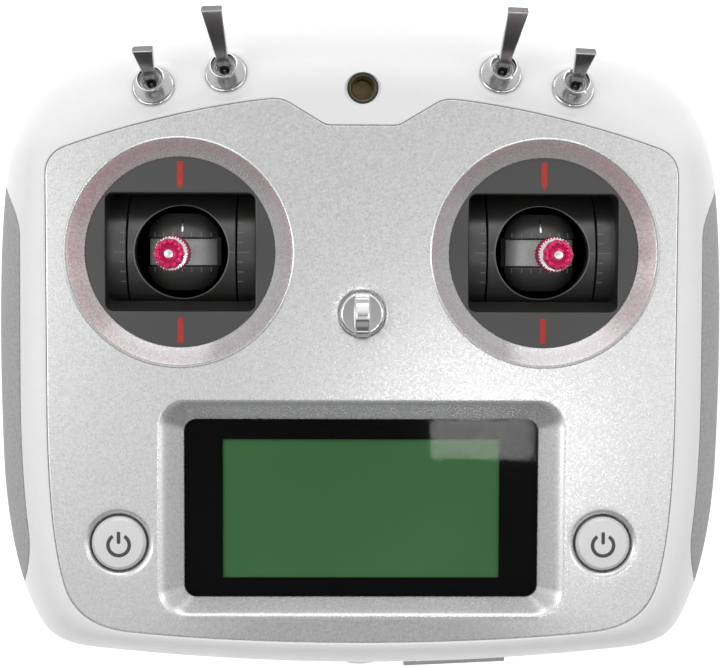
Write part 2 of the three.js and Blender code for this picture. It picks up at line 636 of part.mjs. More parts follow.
function dressNut() {
  const profile = [
    [NUT.bore, -0.2],
    [NUT.flange, -0.2],
    [NUT.flange, 0.9],
    [NUT.foot, 1],
    [NUT.rim, NUT.top],
    [NUT.mouth, NUT.top],
    [NUT.mouth, NUT.step],
    [NUT.bore, NUT.step],
    [NUT.bore, -0.2],
  ];
  return turned(profile, MEDIUM);
}

function switchBody() {
  const bush = rod(BUSH.r, -7, BUSH.top, SMALL);
  const body = block(8, 8, -14, -BUSH.case);
  const legs = [-3, 0, 3].map((y) => box(-1, 1, y - 0.4, y + 0.4, -17, -13.5));
  return cut(join(bush, body, ...legs), rod(BUSH.bore, BUSH.floor, BUSH.top + 1, SMALL));
}

// A flat paddle that widens to its tip, leaning back on its pivot ball.
function switchLever(reach) {
  const shape = new THREE.Shape();
  shape.moveTo(-LEVER.foot, 0);
  shape.lineTo(LEVER.foot, 0);
  shape.lineTo(LEVER.neck, LEVER.neckZ);
  shape.lineTo(LEVER.tip, reach);
  shape.lineTo(-LEVER.tip, reach);
  shape.lineTo(-LEVER.neck, LEVER.neckZ);
  const paddle = extruded(shape, -LEVER.half, LEVER.half).rotate([90, 0, 0]);
  const ball = solid(new THREE.SphereGeometry(LEVER.ball, MEDIUM / 2, SMALL / 2 + 1));
  return moved(join(paddle, ball).rotate([THREE.MathUtils.radToDeg(-LEVER_THROW), 0, 0]), 0, 0, LEVER_PIVOT);
}

// ---- Gimbals, built round their own pivot -----------------------------------------------------------

function bezel() {
  const top = GIMBAL.depth - BOWL.depth - GAP;
  const low = top - BEZEL.t;
  const wall = BEZEL.skirt * 2;
  const disc = rod(BEZEL.r, low, top);
  const skirt = block(BEZEL.w + wall, BEZEL.h + wall, 8.5, low + 1);
  const sides = block(BEZEL.w + wall, 20, 3, 10);
  const aperture = extruded(roundedRectangle(BEZEL.w, BEZEL.h, BEZEL.corner), -1, top + 1, 3);
  const half = BEZEL.w / 2 + 0.5;
  const cheek = cut(rodX(DRUM.r, -half, half), rodX(DRUM.r - DRUM.wall, -20, 20));
  const middle = block(2 * (DRUM.half + 0.4), 60, -20, 20);
  const below = block(60, 60, -20, 3);
  const cheeks = cut(cheek, middle, below).intersect(block(60, BEZEL.h + 1, 0, 20));
  return join(cut(join(disc, skirt, sides), aperture), cheeks);
}

function cage(side) {
  const top = 14.4;
  const ring = cut(
    block(2 * CAGE.out, 2 * (CAGE.y + CAGE.bar), top - 2, top),
    block(2 * CAGE.in, 2 * CAGE.y, top - 3, top + 1),
  );
  const plate = block(CAGE.out - CAGE.in, 2 * CAGE.plate, CAGE.low, top);
  const plates = bothSides((end) => moved(plate, (end * (CAGE.in + CAGE.out)) / 2, 0));
  const bores = rodX(DRUM.pin + 0.35, -30, 30, SMALL);
  const lug = moved(block(2.2, 6, 6, 9), side * (CAGE.out + 0.6), 0);
  return cut(join(ring, plates, lug), bores);
}

function gimbalSensor(side) {
  const can = block(4.6, 10, -5, 5);
  const legs = block(1.4, 8, -8, -4);
  return moved(join(can, legs), side * (CAGE.out + GAP + 2.3), 0);
}

function drum() {
  const { r, wall, half, well, dome, slot, cut: low, pin } = DRUM;
  const barrel = cut(rodX(r, -half, half), rodX(r - wall, -half + 1.2, half - 1.2));
  const collar = rod(well + 0.9, 5.5, r).intersect(rodX(r - 0.2, -half, half));
  const ball = new THREE.SphereGeometry(dome, ROUND / 2, ROUND / 2);
  const hollowBall = new THREE.SphereGeometry(dome - 1, ROUND / 2, ROUND / 3);
  const cap = cut(solid(ball), solid(hollowBall)).intersect(rod(well + 0.5, 4, 20));
  const track = block(2 * (well + 1), slot, 2, 20);
  const shellWithWell = cut(join(barrel, collar), rod(well, 0, 20));
  const pins = bothSides((side) => rodX(pin, side > 0 ? half - 1 : -20.9, side > 0 ? 20.9 : 1 - half, SMALL));
  const axleBore = rodY(SLIDER.axle + GAP, -20, 20, SMALL);
  const whole = join(shellWithWell, cut(cap, track), pins);
  return cut(whole, axleBore, box(-half - 1, half + 1, -20, 20, -20, low));
}

function slider() {
  const { r, t, w, span, boss, axle } = SLIDER;
  const shape = new THREE.Shape();
  shape.absarc(0, 0, r, Math.PI / 2 - span, Math.PI / 2 + span);
  shape.absarc(0, 0, r - t, Math.PI / 2 + span, Math.PI / 2 - span, true);
  const plate = extruded(shape, -w / 2, w / 2, 12).rotate([90, 0, 0]);
  const hub = rod(boss, -3.5, r - 0.3, SMALL);
  const crossAxle = rodY(axle, -14.7, 14.7, SMALL);
  return cut(join(plate, hub, crossAxle), rod(STICK.shaft + GAP, 2.2, 20, SMALL));
}

const stickShaft = () =>
  join(rod(STICK.shaft, 2.5, STICK.foot + 1, SMALL), rod(STICK.tip, STICK.foot, STICK.top - 0.4, SMALL));

function stickLocknut() {
  const grip = extruded(toothedShape(KNOB.nut, KNOB.nut - 0.25, LOCKNUT.teeth), LOCKNUT.low, LOCKNUT.top);
  return cut(grip, rod(STICK.shaft + GAP, 30, 40, SMALL));
}

function stickKnob() {
  const crown = extruded(toothedShape(KNOB.crown, KNOB.root, KNOB.teeth), STICK.rim, STICK.top);
  const rim = rod(KNOB.rim, STICK.rim, STICK.crown);
  const neck = rod(KNOB.neck, STICK.foot, STICK.rim + 0.1);
  const bore = join(rod(STICK.shaft + GAP, 30, STICK.foot + 1.3, SMALL), rod(STICK.tip + GAP, 30, 50, SMALL));
  const dish = taper(1.3, 1.9, STICK.top - 0.5, STICK.top + 0.1, SMALL);
  return cut(join(crown, rim, neck), bore, dish);
}

// ---- Materials and assembly ----------------------------------------------------------------------

const finish = (color, roughness, metalness = 0) =>
  new THREE.MeshStandardMaterial({ color, roughness, metalness, flatShading: true });

const white = finish(0xe9e9ea, 0.3);
const silver = finish(0xb9babd, 0.35, 0.4);
const rubber = finish(0x8c8f92, 0.85);
const dark = finish(0x3c3c3b, 0.6);
const black = finish(0x101011, 0.4);
const chrome = finish(0xc9ccd0, 0.12, 1);
const magenta = finish(0xc01e58, 0.3, 0.8);
const steel = finish(0x9aa0a6, 0.35, 0.9);
const brass = finish(0x8b7442, 0.4, 0.9);
const board = finish(0x1f5a33, 0.6);
const display = finish(0x3a6e3e, 0.3);
const glass = finish(0x0c0c0d, 0.05);
const cellSkin = finish(0x2c4a78, 0.4);

const transmitter = new THREE.Group();
transmitter.position.y = CENTRE_Y;

function add(name, body, material, parent = transmitter) {
  const mesh = new THREE.Mesh(geometryOf(body), material);
  mesh.name = name;
  parent.add(mesh);
}

const SIDES = [
  ["left", -1],
  ["right", 1],
];

add("front_shell", frontShell(), white);
add("rear_shell", rearShell(), white);
add("faceplate", faceplate(), silver);
add("battery_cover", ribbedCover(), white);
add("port_cover", portCover(), rubber);
add("screen_lens", screenLens(), glass);
add("lcd_module", lcdModule(), display);
add("strap_eyelet", strapEyelet(), chrome);
add("phone_mount_insert", phoneMountInsert(), brass);
add("main_board", mainBoard(), board);
add("port_board", portBoard(), board);
add("speaker", speaker(), black);
add("contact_strip_lower", contactStrip(BAY.low + 0.6, 1, [0, 2]), steel);
add("contact_strip_upper", contactStrip(BAY.high - 0.3, -1, []), steel);
for (let i = 0; i < 4; i++) add(`battery_cell_${i + 1}`, batteryCell(i, i % 2 === 1), cellSkin);

for (const [name, side] of SIDES) {
  add(`grip_${name}`, grip(side), rubber);
  add(`antenna_${name}`, antenna(side), board);
  add(`power_button_${name}`, powerButton(side), white);
  add(`dial_${name}`, thumbDial(side), dark);
  add(`rear_key_${name}`, rearKey(side), white);
  for (const { name: row, x, y } of SCREWS) add(`screw_${row}_${name}`, screw(side * x, y), steel);

  const gimbal = new THREE.Group();
  gimbal.position.set(side * GIMBAL.x, GIMBAL.y, FACE_Z - GIMBAL.depth);
  transmitter.add(gimbal);
  add(`gimbal_bezel_${name}`, bezel(), dark, gimbal);
  add(`gimbal_cage_${name}`, cage(side), black, gimbal);
  add(`gimbal_sensor_${name}`, gimbalSensor(side), black, gimbal);
  add(`gimbal_drum_${name}`, drum(), dark, gimbal);
  add(`stick_slider_${name}`, slider(), dark, gimbal);
  add(`stick_shaft_${name}`, stickShaft(), steel, gimbal);
  add(`stick_locknut_${name}`, stickLocknut(), magenta, gimbal);
  add(`stick_knob_${name}`, stickKnob(), magenta, gimbal);
}

for (const place of SWITCHES) {
  const frame = new THREE.Group();
  frame.applyMatrix4(switchFrame(place));
  transmitter.add(frame);
  add(`switch_nut_${place.name}`, dressNut(), chrome, frame);
  add(`switch_body_${place.name}`, switchBody(), steel, frame);
  add(`switch_lever_${place.name}`, switchLever(place.reach), chrome, frame);
}

export default transmitter;
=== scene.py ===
"""A hand-held radio control transmitter, lying on its back with its face up.

Shapes are made in millimetres, with the outline's middle at x = y = 0, and become metres in piece().
"""

import json
import math

import bmesh
import bpy
import numpy as np
from mathutils import Matrix, Vector
from mathutils.geometry import delaunay_2d_cdt

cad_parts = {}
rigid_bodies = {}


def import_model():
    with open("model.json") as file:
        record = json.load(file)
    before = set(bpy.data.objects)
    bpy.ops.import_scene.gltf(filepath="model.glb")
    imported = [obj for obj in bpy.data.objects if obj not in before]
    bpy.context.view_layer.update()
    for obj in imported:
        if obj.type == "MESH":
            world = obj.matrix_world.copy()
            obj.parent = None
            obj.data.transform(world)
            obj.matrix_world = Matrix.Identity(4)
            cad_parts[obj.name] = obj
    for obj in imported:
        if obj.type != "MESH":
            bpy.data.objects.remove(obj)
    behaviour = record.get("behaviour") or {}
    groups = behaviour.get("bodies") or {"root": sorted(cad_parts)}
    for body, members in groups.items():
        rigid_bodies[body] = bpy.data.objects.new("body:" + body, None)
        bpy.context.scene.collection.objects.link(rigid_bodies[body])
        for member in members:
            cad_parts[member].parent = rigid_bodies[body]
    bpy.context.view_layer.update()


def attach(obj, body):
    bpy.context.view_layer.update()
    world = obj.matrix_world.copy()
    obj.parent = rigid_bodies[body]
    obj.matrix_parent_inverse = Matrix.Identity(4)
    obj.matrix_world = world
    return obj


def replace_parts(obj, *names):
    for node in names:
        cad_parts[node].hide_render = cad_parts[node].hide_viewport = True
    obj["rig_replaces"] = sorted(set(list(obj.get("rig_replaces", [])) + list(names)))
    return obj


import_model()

# ---- Driving dimensions, in millimetres ----
MM = 0.001
CENTRE_Y = 0.8  # the outline's middle sits this far up in the shared frame

FACE_Z = 56.5  # top of the faceplate
RIM_Z = 56.2  # top of the front shell round it
PARTING_Z = 36.0  # where the front shell meets the rear shell
REAR_BULGE = 50.0
REAR_POWER = 2.6
REAR_SPREAD = 0.8
BACK_Z = 14.5  # the flat of the back, between the two lobes
LOBE_SINK = 1.6
LOBE_ACROSS = (40.0, 54.0)
LOBE_TOP = (14.0, 40.0)
LOBE_BOTTOM = (-62.0, -46.0)
BACK_RISE_Y = 52.0
BACK_RISE = 0.25
BACK_BLEND = 6.0

SEAM = 0.26  # gap between pieces
EDGE = 0.35  # rounding of the shells' edges
PLATE_GAP = 1.0025  # how much wider than the faceplate its opening is
BORDER = SEAM / 2 + EDGE  # from the middle of a seam to where a surface starts
SHELL_T = 2.0
GRIP_T = 1.5
GRIP_TOP = (86.8, 39.5)  # the grip's upper and lower corner on the outline
GRIP_FOOT = (84, -60.5)

GIMBAL_X = 43.25
GIMBAL_Y = 23.1
GIMBAL_Z = 35.5
BOWL_LIP = 27.35
BOWL_TOP = 26.6
BOWL_BOTTOM = 22.6
BOWL_DEPTH = 2.6
BEZEL_R = 25.2
BEZEL_TOP = 18.0
BEZEL_W = 35.5  # the opening
BEZEL_H = 27.9
DRUM_R = 15.2
DRUM_HALF = 12.95
CHEEK_START = 13.3
CHEEK_END = 18.2
CHEEK_HALF = 14.3
WELL_R = 11.3
DOME_R = 13.2
BALL = (17.0, 18.6)  # what is left of the ball across and up
BALL_CORNER = 5.5
SLOT = 7.1
SLIDER_R = 11.9
SLIDER_W = 6.4
SLIDER_SWEEP = math.radians(43)  # each way

# Rectangles have a width, a height and a corner radius.
LENS = (88, 46, 2.5)
LENS_Y = -38.4
PRINTED = (87, 45, 2.5)  # the black border's outside
WINDOW = (85.2, 43.15, 3.0)
FRAME = (97.4, 52.4, 6.6)
FRAME_Y = -37.8
LCD_Y = -38.7
LCD_ACTIVE = (66.8, 33.7, 0.3)
LCD_HALF = (38, 21)

POWER_X = 57.8
POWER_Y = -46.2
EYELET_Y = 8.7
INSERT_Y = 61.9
INSERT_R = 3.7  # the hole in the front shell, and its widened mouth
INSERT_MOUTH = 4.6
CREASE_Y = -63.4  # below this line the faceplate slopes away
CREASE_HALF = 62.0
PLATE_SPAN = ((-76, 76), (-72, 62))  # a box round the faceplate, across and up
BAND_SLOPE = 0.085

SWITCH_TILT = math.radians(20)
SWITCH_LEAN = math.radians(5)
LEVER_THROW = math.radians(14)
LEVER_PIVOT = 2.0
SEAT_R = 5.3  # the shoulder is flat out to here, and back to its own shape at the next radius
SEAT_FADE = 7.0
SEAT_SINK = 0.1
# The middle of each switch's seat, which side it leans to, and the length of its lever.
SWITCHES = {
    "a": (-49.3, 62.1, 54.628, -1, 12.2),
    "b": (-32.2, 65.3, 54.700, -1, 21.2),
    "c": (32.5, 65.3, 54.678, 1, 21.2),
    "d": (49.7, 62.1, 54.586, 1, 12.2),
}
SIDES = {"left": -1, "right": 1}

COVER_X = 33.0
COVER_LOW = -64.0
COVER_HIGH = 6.0
COVER_T = 2.0
COVER_FLARE = 1.0
COVER_GAP = 0.3
TRAY_REACH = 0.968  # the tray's lower end, as a share of the outline there, less an inset
TRAY_INSET = 1
TRAY_END = 0.47  # half the angle that this end spans
BAY = (-30.6, 30.6, -53.5, 2.5)
BAY_TOP = 32.0
DIAL = (60.0, 56.0)
DIAL_SLOT = (5.8, 17.2)
KEY = (28.0, 48.0)
KEY_HOLE = (12.0, 8.0)
SCREWS = ((66.0, 44.0), (60.0, -62.0))
WELL = 3.3  # radius of the well over each screw
WELL_TOP = 18.0
SCREW_HOLE = 1.8
HOLE_LOW = 5  # a height below the parts of the rear shell that have holes
PORT = Matrix.Translation((23.8, -79.15, 27.0)) @ Matrix.Rotation(math.radians(2.6), 4, "Z")
PORT_W = 25.6
PORT_HOLE = (-11.8, 11.8, -3, 2.1, 1.9, 8)  # its sides across, in and up, in the port's own frame

FINE = 720  # columns round the shells
CREEP = 2e-4  # between rows that are held back by a grip, in radians


# ---- Shapes ----


class Shape:
    """A polygon mesh in millimetres."""

    def __init__(self, points, faces):
        self.points = np.asarray(points, float).reshape(-1, 3)
        self.faces = [tuple(face) for face in faces]

    def put(self, matrix):
        m = np.array(matrix)
        return Shape(self.points @ m[:3, :3].T + m[:3, 3], self.faces)

    def moved(self, x, y, z):
        return Shape(self.points + (x, y, z), self.faces)

    def turned(self, degrees, axis):
        return self.put(Matrix.Rotation(math.radians(degrees), 4, axis))

    def mirrored(self):
        return Shape(self.points * (-1, 1, 1), [face[::-1] for face in self.faces])


def together(*shapes):
    """One shape from several."""
    points = []
    faces = []
    count = 0
    for shape in shapes:
        points.append(shape.points)
        faces += [tuple(i + count for i in face) for face in shape.faces]
        count += len(shape.points)
    return Shape(np.concatenate(points), faces)


def paired(shape):
    """The shape and its mirror image."""
    return together(shape, shape.mirrored())


def woven(grid, closed_rows=False, closed_columns=False):
    """A mesh over a grid of points, [row][column]."""
    grid = np.asarray(grid, float)
    rows, columns = grid.shape[:2]
    faces = []
    for r in range(rows if closed_rows else rows - 1):
        for c in range(columns if closed_columns else columns - 1):
            r2 = (r + 1) % rows
            c2 = (c + 1) % columns
            faces.append((r * columns + c, r * columns + c2, r2 * columns + c2, r2 * columns + c))
    return Shape(grid.reshape(-1, 3), faces)


def looped(loops):
    """A mesh through closed loops, the last of which meets the first."""
    return woven(loops, closed_rows=True, closed_columns=True)


def capped(loops):
    """A closed mesh through a stack of loops with the same number of points, with flat ends."""
    shape = woven(loops, closed_columns=True)
    count = len(loops[0])
    last = len(shape.points) - count
    shape.faces.append(tuple(range(count))[::-1])
    shape.faces.append(tuple(range(last, last + count)))
    return shape


def mesh_of(shape, scale=1.0, lift=(0, 0, 0)):
    """A Blender mesh of the shape, lifted and then scaled, with doubled points merged."""
    mesh = bpy.data.meshes.new("mesh")
    mesh.from_pydata(((shape.points + lift) * scale).tolist(), [], shape.faces)
    work = bmesh.new()
    work.from_mesh(mesh)
    bmesh.ops.remove_doubles(work, verts=work.verts, dist=0.0005 * scale)
    bmesh.ops.dissolve_degenerate(work, edges=work.edges, dist=0.0001 * scale)
    bmesh.ops.recalc_face_normals(work, faces=work.faces)
    work.to_mesh(mesh)
    work.free()
    return mesh


def rebuilt(shape, set_up):
    """The shape as the modifiers leave it that set_up gives to its object."""
    holder = bpy.data.objects.new("holder", mesh_of(shape))
    bpy.context.scene.collection.objects.link(holder)
    set_up(holder)
    graph = bpy.context.evaluated_depsgraph_get()
    made = holder.evaluated_get(graph).to_mesh()
    points = np.empty(3 * len(made.vertices))
    made.vertices.foreach_get("co", points)
    faces = [tuple(polygon.vertices) for polygon in made.polygons]
    holder.evaluated_get(graph).to_mesh_clear()
    bpy.data.objects.remove(holder)
    return Shape(points, faces)


def combined(shape, operation, *tools):
    """A boolean of the shape with each tool in turn."""
    for tool in tools:
        other = bpy.data.objects.new("tool", mesh_of(tool))
        bpy.context.scene.collection.objects.link(other)

        def set_up(holder):
            modifier = holder.modifiers.new("boolean", "BOOLEAN")
            modifier.operation = operation
            modifier.solver = "EXACT"
            modifier.object = other

        shape = rebuilt(shape, set_up)
        bpy.data.objects.remove(other)
    return shape


def cut(shape, *tools):
    return combined(shape, "DIFFERENCE", *tools)


def bevelled(shape, width, segments=2, degrees=35):
    def set_up(holder):
        modifier = holder.modifiers.new("bevel", "BEVEL")
        modifier.width = width
        modifier.segments = segments
        modifier.limit_method = "ANGLE"
        modifier.angle_limit = math.radians(degrees)
        modifier.use_clamp_overlap = True

    return rebuilt(shape, set_up)


def eased(path, radius, steps=4, closed=False):
    """The path with its corners rounded."""
    path = [np.asarray(p, float) for p in path]
    count = len(path)
    out = []
    for i, corner in enumerate(path):
        if not closed and i in (0, count - 1):
            out.append(corner)
            continue
        before = path[i - 1] - corner
        after = path[(i + 1) % count] - corner
        long_before = np.linalg.norm(before)
        long_after = np.linalg.norm(after)
        step = min(radius, 0.45 * long_before, 0.45 * long_after)
        start = corner + before / long_before * step
        end = corner + after / long_after * step
        for t in np.linspace(0, 1, steps + 1):
            out.append(start * (1 - t) ** 2 + corner * 2 * t * (1 - t) + end * t**2)
    return np.array(out)


def turns(count):
    """Evenly spaced angles round a circle."""
    return np.linspace(0, 2 * np.pi, count, endpoint=False)


def lathe(profile, sides=96, closed=False):
    """A profile of (radius, height) points turned about the Z axis."""
    profile = np.asarray(profile, float)
    turn = turns(sides)
    grid = np.empty((len(profile), sides, 3))
    grid[..., 0] = profile[:, :1] * np.cos(turn)
    grid[..., 1] = profile[:, :1] * np.sin(turn)
    grid[..., 2] = profile[:, 1:]
    return woven(grid, closed_rows=closed, closed_columns=True)


def ring(profile, radius=0.15, sides=96, steps=3):
    """A closed profile turned about the Z axis, its edges rounded."""
    return lathe(eased(profile, radius, steps, closed=True), sides, closed=True)


def rod(r, low, high, sides=64, ease=0.0):
    profile = [(0, low), (r, low), (r, high), (0, high)]
    if ease:
        profile = eased(profile, ease, 3)
    return lathe(profile, sides)


def globe(r, rows, sides):
    """A ball, closed at its poles on the Z axis."""
    turn = np.linspace(-np.pi / 2, np.pi / 2, rows)
    return lathe(np.column_stack([r * np.cos(turn), r * np.sin(turn)]), sides)


def circle(r, sides=96):
    return np.stack([r * np.cos(turns(sides)), r * np.sin(turns(sides))], axis=1)


def rounded_rectangle(w, h, r, steps=8):
    """An outline w wide and h high that runs anticlockwise, with corners of radius r."""
    corners = []
    for quarter, (sx, sy) in enumerate([(1, 1), (-1, 1), (-1, -1), (1, -1)]):
        for t in np.linspace(0, np.pi / 2, steps + 1):
            angle = quarter * np.pi / 2 + t
            x = sx * (w / 2 - r) + r * math.cos(angle)
            corners.append((x, sy * (h / 2 - r) + r * math.sin(angle)))
    return np.array(corners)


def inset(outline, amount):
    """An outline that runs anticlockwise, moved inwards."""
    outline = np.asarray(outline, float)
    before = outline - np.roll(outline, 1, axis=0)
    after = np.roll(outline, -1, axis=0) - outline
    normals = []
    for way in (before, after):
        way = way / np.maximum(np.linalg.norm(way, axis=1, keepdims=True), 1e-9)
        normals.append(np.stack([way[:, 1], -way[:, 0]], axis=1))
    mean = normals[0] + normals[1]
    mean /= np.maximum(np.linalg.norm(mean, axis=1, keepdims=True), 1e-9)
    stretch = np.maximum(np.sum(mean * normals[0], axis=1, keepdims=True), 0.5)
    return outline - mean * amount / stretch


def loop_at(outline, z):
    """A flat outline's points at a height."""
    return np.column_stack([outline, np.full(len(outline), z)])


def slab(outline, low, high, ease_low=0.2, ease_high=0.2, steps=3):
    """An outline raised from low to high, with rounded rims."""
    loops = []
    quarter = np.linspace(0, np.pi / 2, steps + 1)
    for t in quarter:
        rim = inset(outline, ease_low * (1 - math.sin(t)))
        loops.append(loop_at(rim, low + ease_low * (1 - math.cos(t))))
    for t in quarter:
        rim = inset(outline, ease_high * (1 - math.cos(t)))
        loops.append(loop_at(rim, high - ease_high * (1 - math.sin(t))))
    return capped(loops)


def block(x0, x1, y0, y1, z0, z1, ease=0.2, corner=0.4):
    outline = rounded_rectangle(x1 - x0, y1 - y0, corner, 4)
    return slab(outline, z0, z1, ease, ease).moved((x0 + x1) / 2, (y0 + y1) / 2, 0)


def smooth(low, high, value):
    """A soft step from 0 at low to 1 at high."""
    t = np.clip((np.asarray(value, float) - low) / (high - low), 0, 1)
    return t * t * (3 - 2 * t)


# ---- Outlines of the body ----


def outline(start, *curves, steps=40):
    """A path from start through Bezier curves, each given by its control points and end."""
    path = [np.array(start, float)]
    for curve in curves:
        corners = [path[-1]] + [np.array(p, float) for p in curve]
        for t in np.linspace(0, 1, steps + 1)[1:]:
            level = corners
            while len(level) > 1:
                level = [a * (1 - t) + b * t for a, b in zip(level, level[1:])]
            path.append(level[0])
    return np.array(path)


FLANK = (
    ((73, 47), (74.6, 44.5), (74.6, 41)),
    ((74.6, -12),),
    ((74.6, -32), (73.4, -48), (70.5, -57)),
    ((68.4, -63.5), (63, -66.8), (55, -67.6)),
    ((40, -69.3), (20, -70.3), (0, -70.3)),
)
BODY_PATH = outline(
    (0, 79.9),
    ((30, 79.9), (52, 75), (66, 70)),
    ((80, 65.4), (83.5, 56), (86.5, 44)),
    ((89.3, 28), (89.3, -5), (88.3, -30)),
    ((87.4, -46), (84.5, -60), (79, -69)),
    ((76.4, -73), (72, -74.4), (66, -74.9)),
    ((45, -77.2), (22, -78.7), (0, -78.7)),
)
FLAT_PATH = outline((0, 60.6), ((25, 60), (50, 55), (69, 48.2)), *FLANK)
PLATE_PATH = outline(
    (0, 53.1),
    ((7.2, 53.1),),
    ((8.5, 53.1), (9.4, 53.6)),
    ((16.9, 58.1),),
    ((18.8, 59.3), (21.4, 59.2)),
    ((36, 57.8), (55, 53.2), (69, 48.2)),
    *FLANK,
)
GRIP_FRONT_PATH = outline(
    GRIP_TOP,
    ((81.6, 32.5), (81.4, 27)),
    ((81.6, -12),),
    ((81.5, -30), (79.9, -44)),
    ((79.1, -53), GRIP_FOOT),
)
GRIP_REAR_PATH = outline(GRIP_TOP, ((58, 37), (56, 8)), ((56, -28),), ((58, -56), GRIP_FOOT))


def from_top(angles):
    """How far angles are from +Y, up to a half turn."""
    return np.abs(np.arctan2(np.sin(angles), np.cos(angles)))


def reach(path):
    """Distance from the middle to a half outline, by the angle from +Y, alike on both sides."""
    angles = np.arctan2(path[:, 0], path[:, 1])
    lengths = np.hypot(path[:, 0], path[:, 1])
    return lambda angle: np.interp(from_top(angle), angles, lengths)


outer_at = reach(BODY_PATH)
flat_at = reach(FLAT_PATH)
plate_at = reach(PLATE_PATH)
grip_front_at = reach(GRIP_FRONT_PATH)
grip_rear_at = reach(GRIP_REAR_PATH)
GRIP_ANGLES = (math.atan2(*GRIP_TOP), math.atan2(*GRIP_FOOT))


def body_angles():
    """The angles of the shells' columns, with a close pair at each end of each grip."""
    even = np.linspace(-np.pi, np.pi, FINE, endpoint=False)
    tight = 0.0015
    ends = [s * (a + t) for s in (-1, 1) for a in GRIP_ANGLES for t in (-tight, tight)]
    return np.sort(np.concatenate([even, ends]))


def in_grip(angles):
    """Where along the outline a grip covers the side."""
    away = from_top(angles)
    return (away > GRIP_ANGLES[0]) & (away < GRIP_ANGLES[1])


def polar(angles, r, z):
    """Points by their angle from +Y, distance from the middle and height."""
    return np.stack([r * np.sin(angles), r * np.cos(angles), z], axis=-1)


def dome(angles, lift):
    """The domed shoulder. lift goes from 0 at the flat to a quarter turn at the parting line."""
    inner = flat_at(angles)
    r = inner + (outer_at(angles) - inner) * np.sin(lift)
    return polar(angles, r, PARTING_Z + (RIM_Z - PARTING_Z) * np.cos(lift))


def lift_of(angles, r):
    """The lift at which the shoulder is r from the middle."""
    inner = flat_at(angles)
    return np.arcsin(np.clip((r - inner) / (outer_at(angles) - inner), 0, 1))


def soft_max(a, b, reach_mm):
    """The larger of two heights, blended softly where they are close."""
    near = np.maximum(reach_mm - np.abs(a - b), 0) / reach_mm
    return np.maximum(a, b) + near**2 * reach_mm / 4


def back(angles, fall):
    """The back. fall goes from 0 at the parting line to a quarter turn in the middle."""
    share = np.maximum(np.cos(fall), 0) ** REAR_SPREAD
    r = outer_at(angles) * share
    x = r * np.sin(angles)
    y = r * np.cos(angles)
    rim = PARTING_Z - REAR_BULGE * (1 - share**REAR_POWER) ** (1 / REAR_POWER)
    lobe = smooth(*LOBE_ACROSS, np.abs(x)) * smooth(*LOBE_BOTTOM, y) * (1 - smooth(*LOBE_TOP, y))
    flat = BACK_Z * (1 - lobe) - LOBE_SINK * lobe + BACK_RISE * np.maximum(0, y - BACK_RISE_Y)
    return polar(angles, r, soft_max(soft_max(rim, flat, BACK_BLEND), 0, LOBE_SINK))


def fall_of(angles, r):
    """The fall at which the back is r from the middle."""
    share = np.clip(r / outer_at(angles), 0, 1)
    return np.arccos(share ** (1 / REAR_SPREAD))


def moved_along(surface, angles, place, distance):
    """The surface parameter a distance further on, from a small step along the surface."""
    step = 1e-3
    speed = np.linalg.norm(surface(angles, place + step) - surface(angles, place), axis=-1) / step
    return place + distance / speed


def facing(surface, angles, places):
    """The surface's outward directions, found from small steps along it."""
    step = 2e-3
    across = surface(angles + step, places) - surface(angles - step, places)
    along = surface(angles, places + step) - surface(angles, places)
    normal = np.cross(across, along)
    length = np.linalg.norm(normal, axis=-1, keepdims=True)
    return np.where(length > 1e-9, normal / np.maximum(length, 1e-9), (0, 0, -1))


def thick(grid, normal, thickness, first_edge=True, last_edge=True):
    """A sheet under a grid of surface points, with its first and last rows' edges rounded."""
    loops = []

    def edge(row, neighbour):
        """The loops round the edge at a row, away from its neighbour."""
        way = grid[row] - grid[neighbour]
        way -= normal[row] * np.sum(way * normal[row], axis=-1, keepdims=True)
        way /= np.maximum(np.linalg.norm(way, axis=-1, keepdims=True), 1e-12)
        out = []
        for t in np.linspace(0, np.pi / 2, 5)[1:]:
            out.append(grid[row] + way * EDGE * math.sin(t) - normal[row] * EDGE * (1 - math.cos(t)))
        out.append(grid[row] + way * EDGE - normal[row] * thickness)
        return out

    if first_edge:
        loops += edge(0, 1)[::-1]
    loops += list(grid)
    if last_edge:
        loops += edge(-1, -2)
    loops += list((grid - normal * thickness)[::-1])
    return np.array(loops)


def switch_matrix(name):
    """Where a switch sits, its axis leaning to the top edge and outwards."""
    x, y, z, side, _ = SWITCHES[name]
    turn = Matrix.Rotation(-SWITCH_TILT, 4, "X") @ Matrix.Rotation(side * SWITCH_LEAN, 4, "Y")
    return Matrix.Translation((x, y, z)) @ turn


def seated(points):
    """The shoulder flattened softly under each switch."""
    shape = points.shape
    flat = points.reshape(-1, 3).copy()
    for name in SWITCHES:
        matrix = np.array(switch_matrix(name))
        local = (flat - matrix[:3, 3]) @ matrix[:3, :3]
        away = np.hypot(local[:, 0], local[:, 1])
        weight = (1 - smooth(SEAT_R, SEAT_FADE, away)) * (np.abs(local[:, 2]) < 4)
        local[:, 2] += (-SEAT_SINK - local[:, 2]) * weight
        flat = local @ matrix[:3, :3].T + matrix[:3, 3]
    return flat.reshape(shape)


# ---- Shells and grips ----


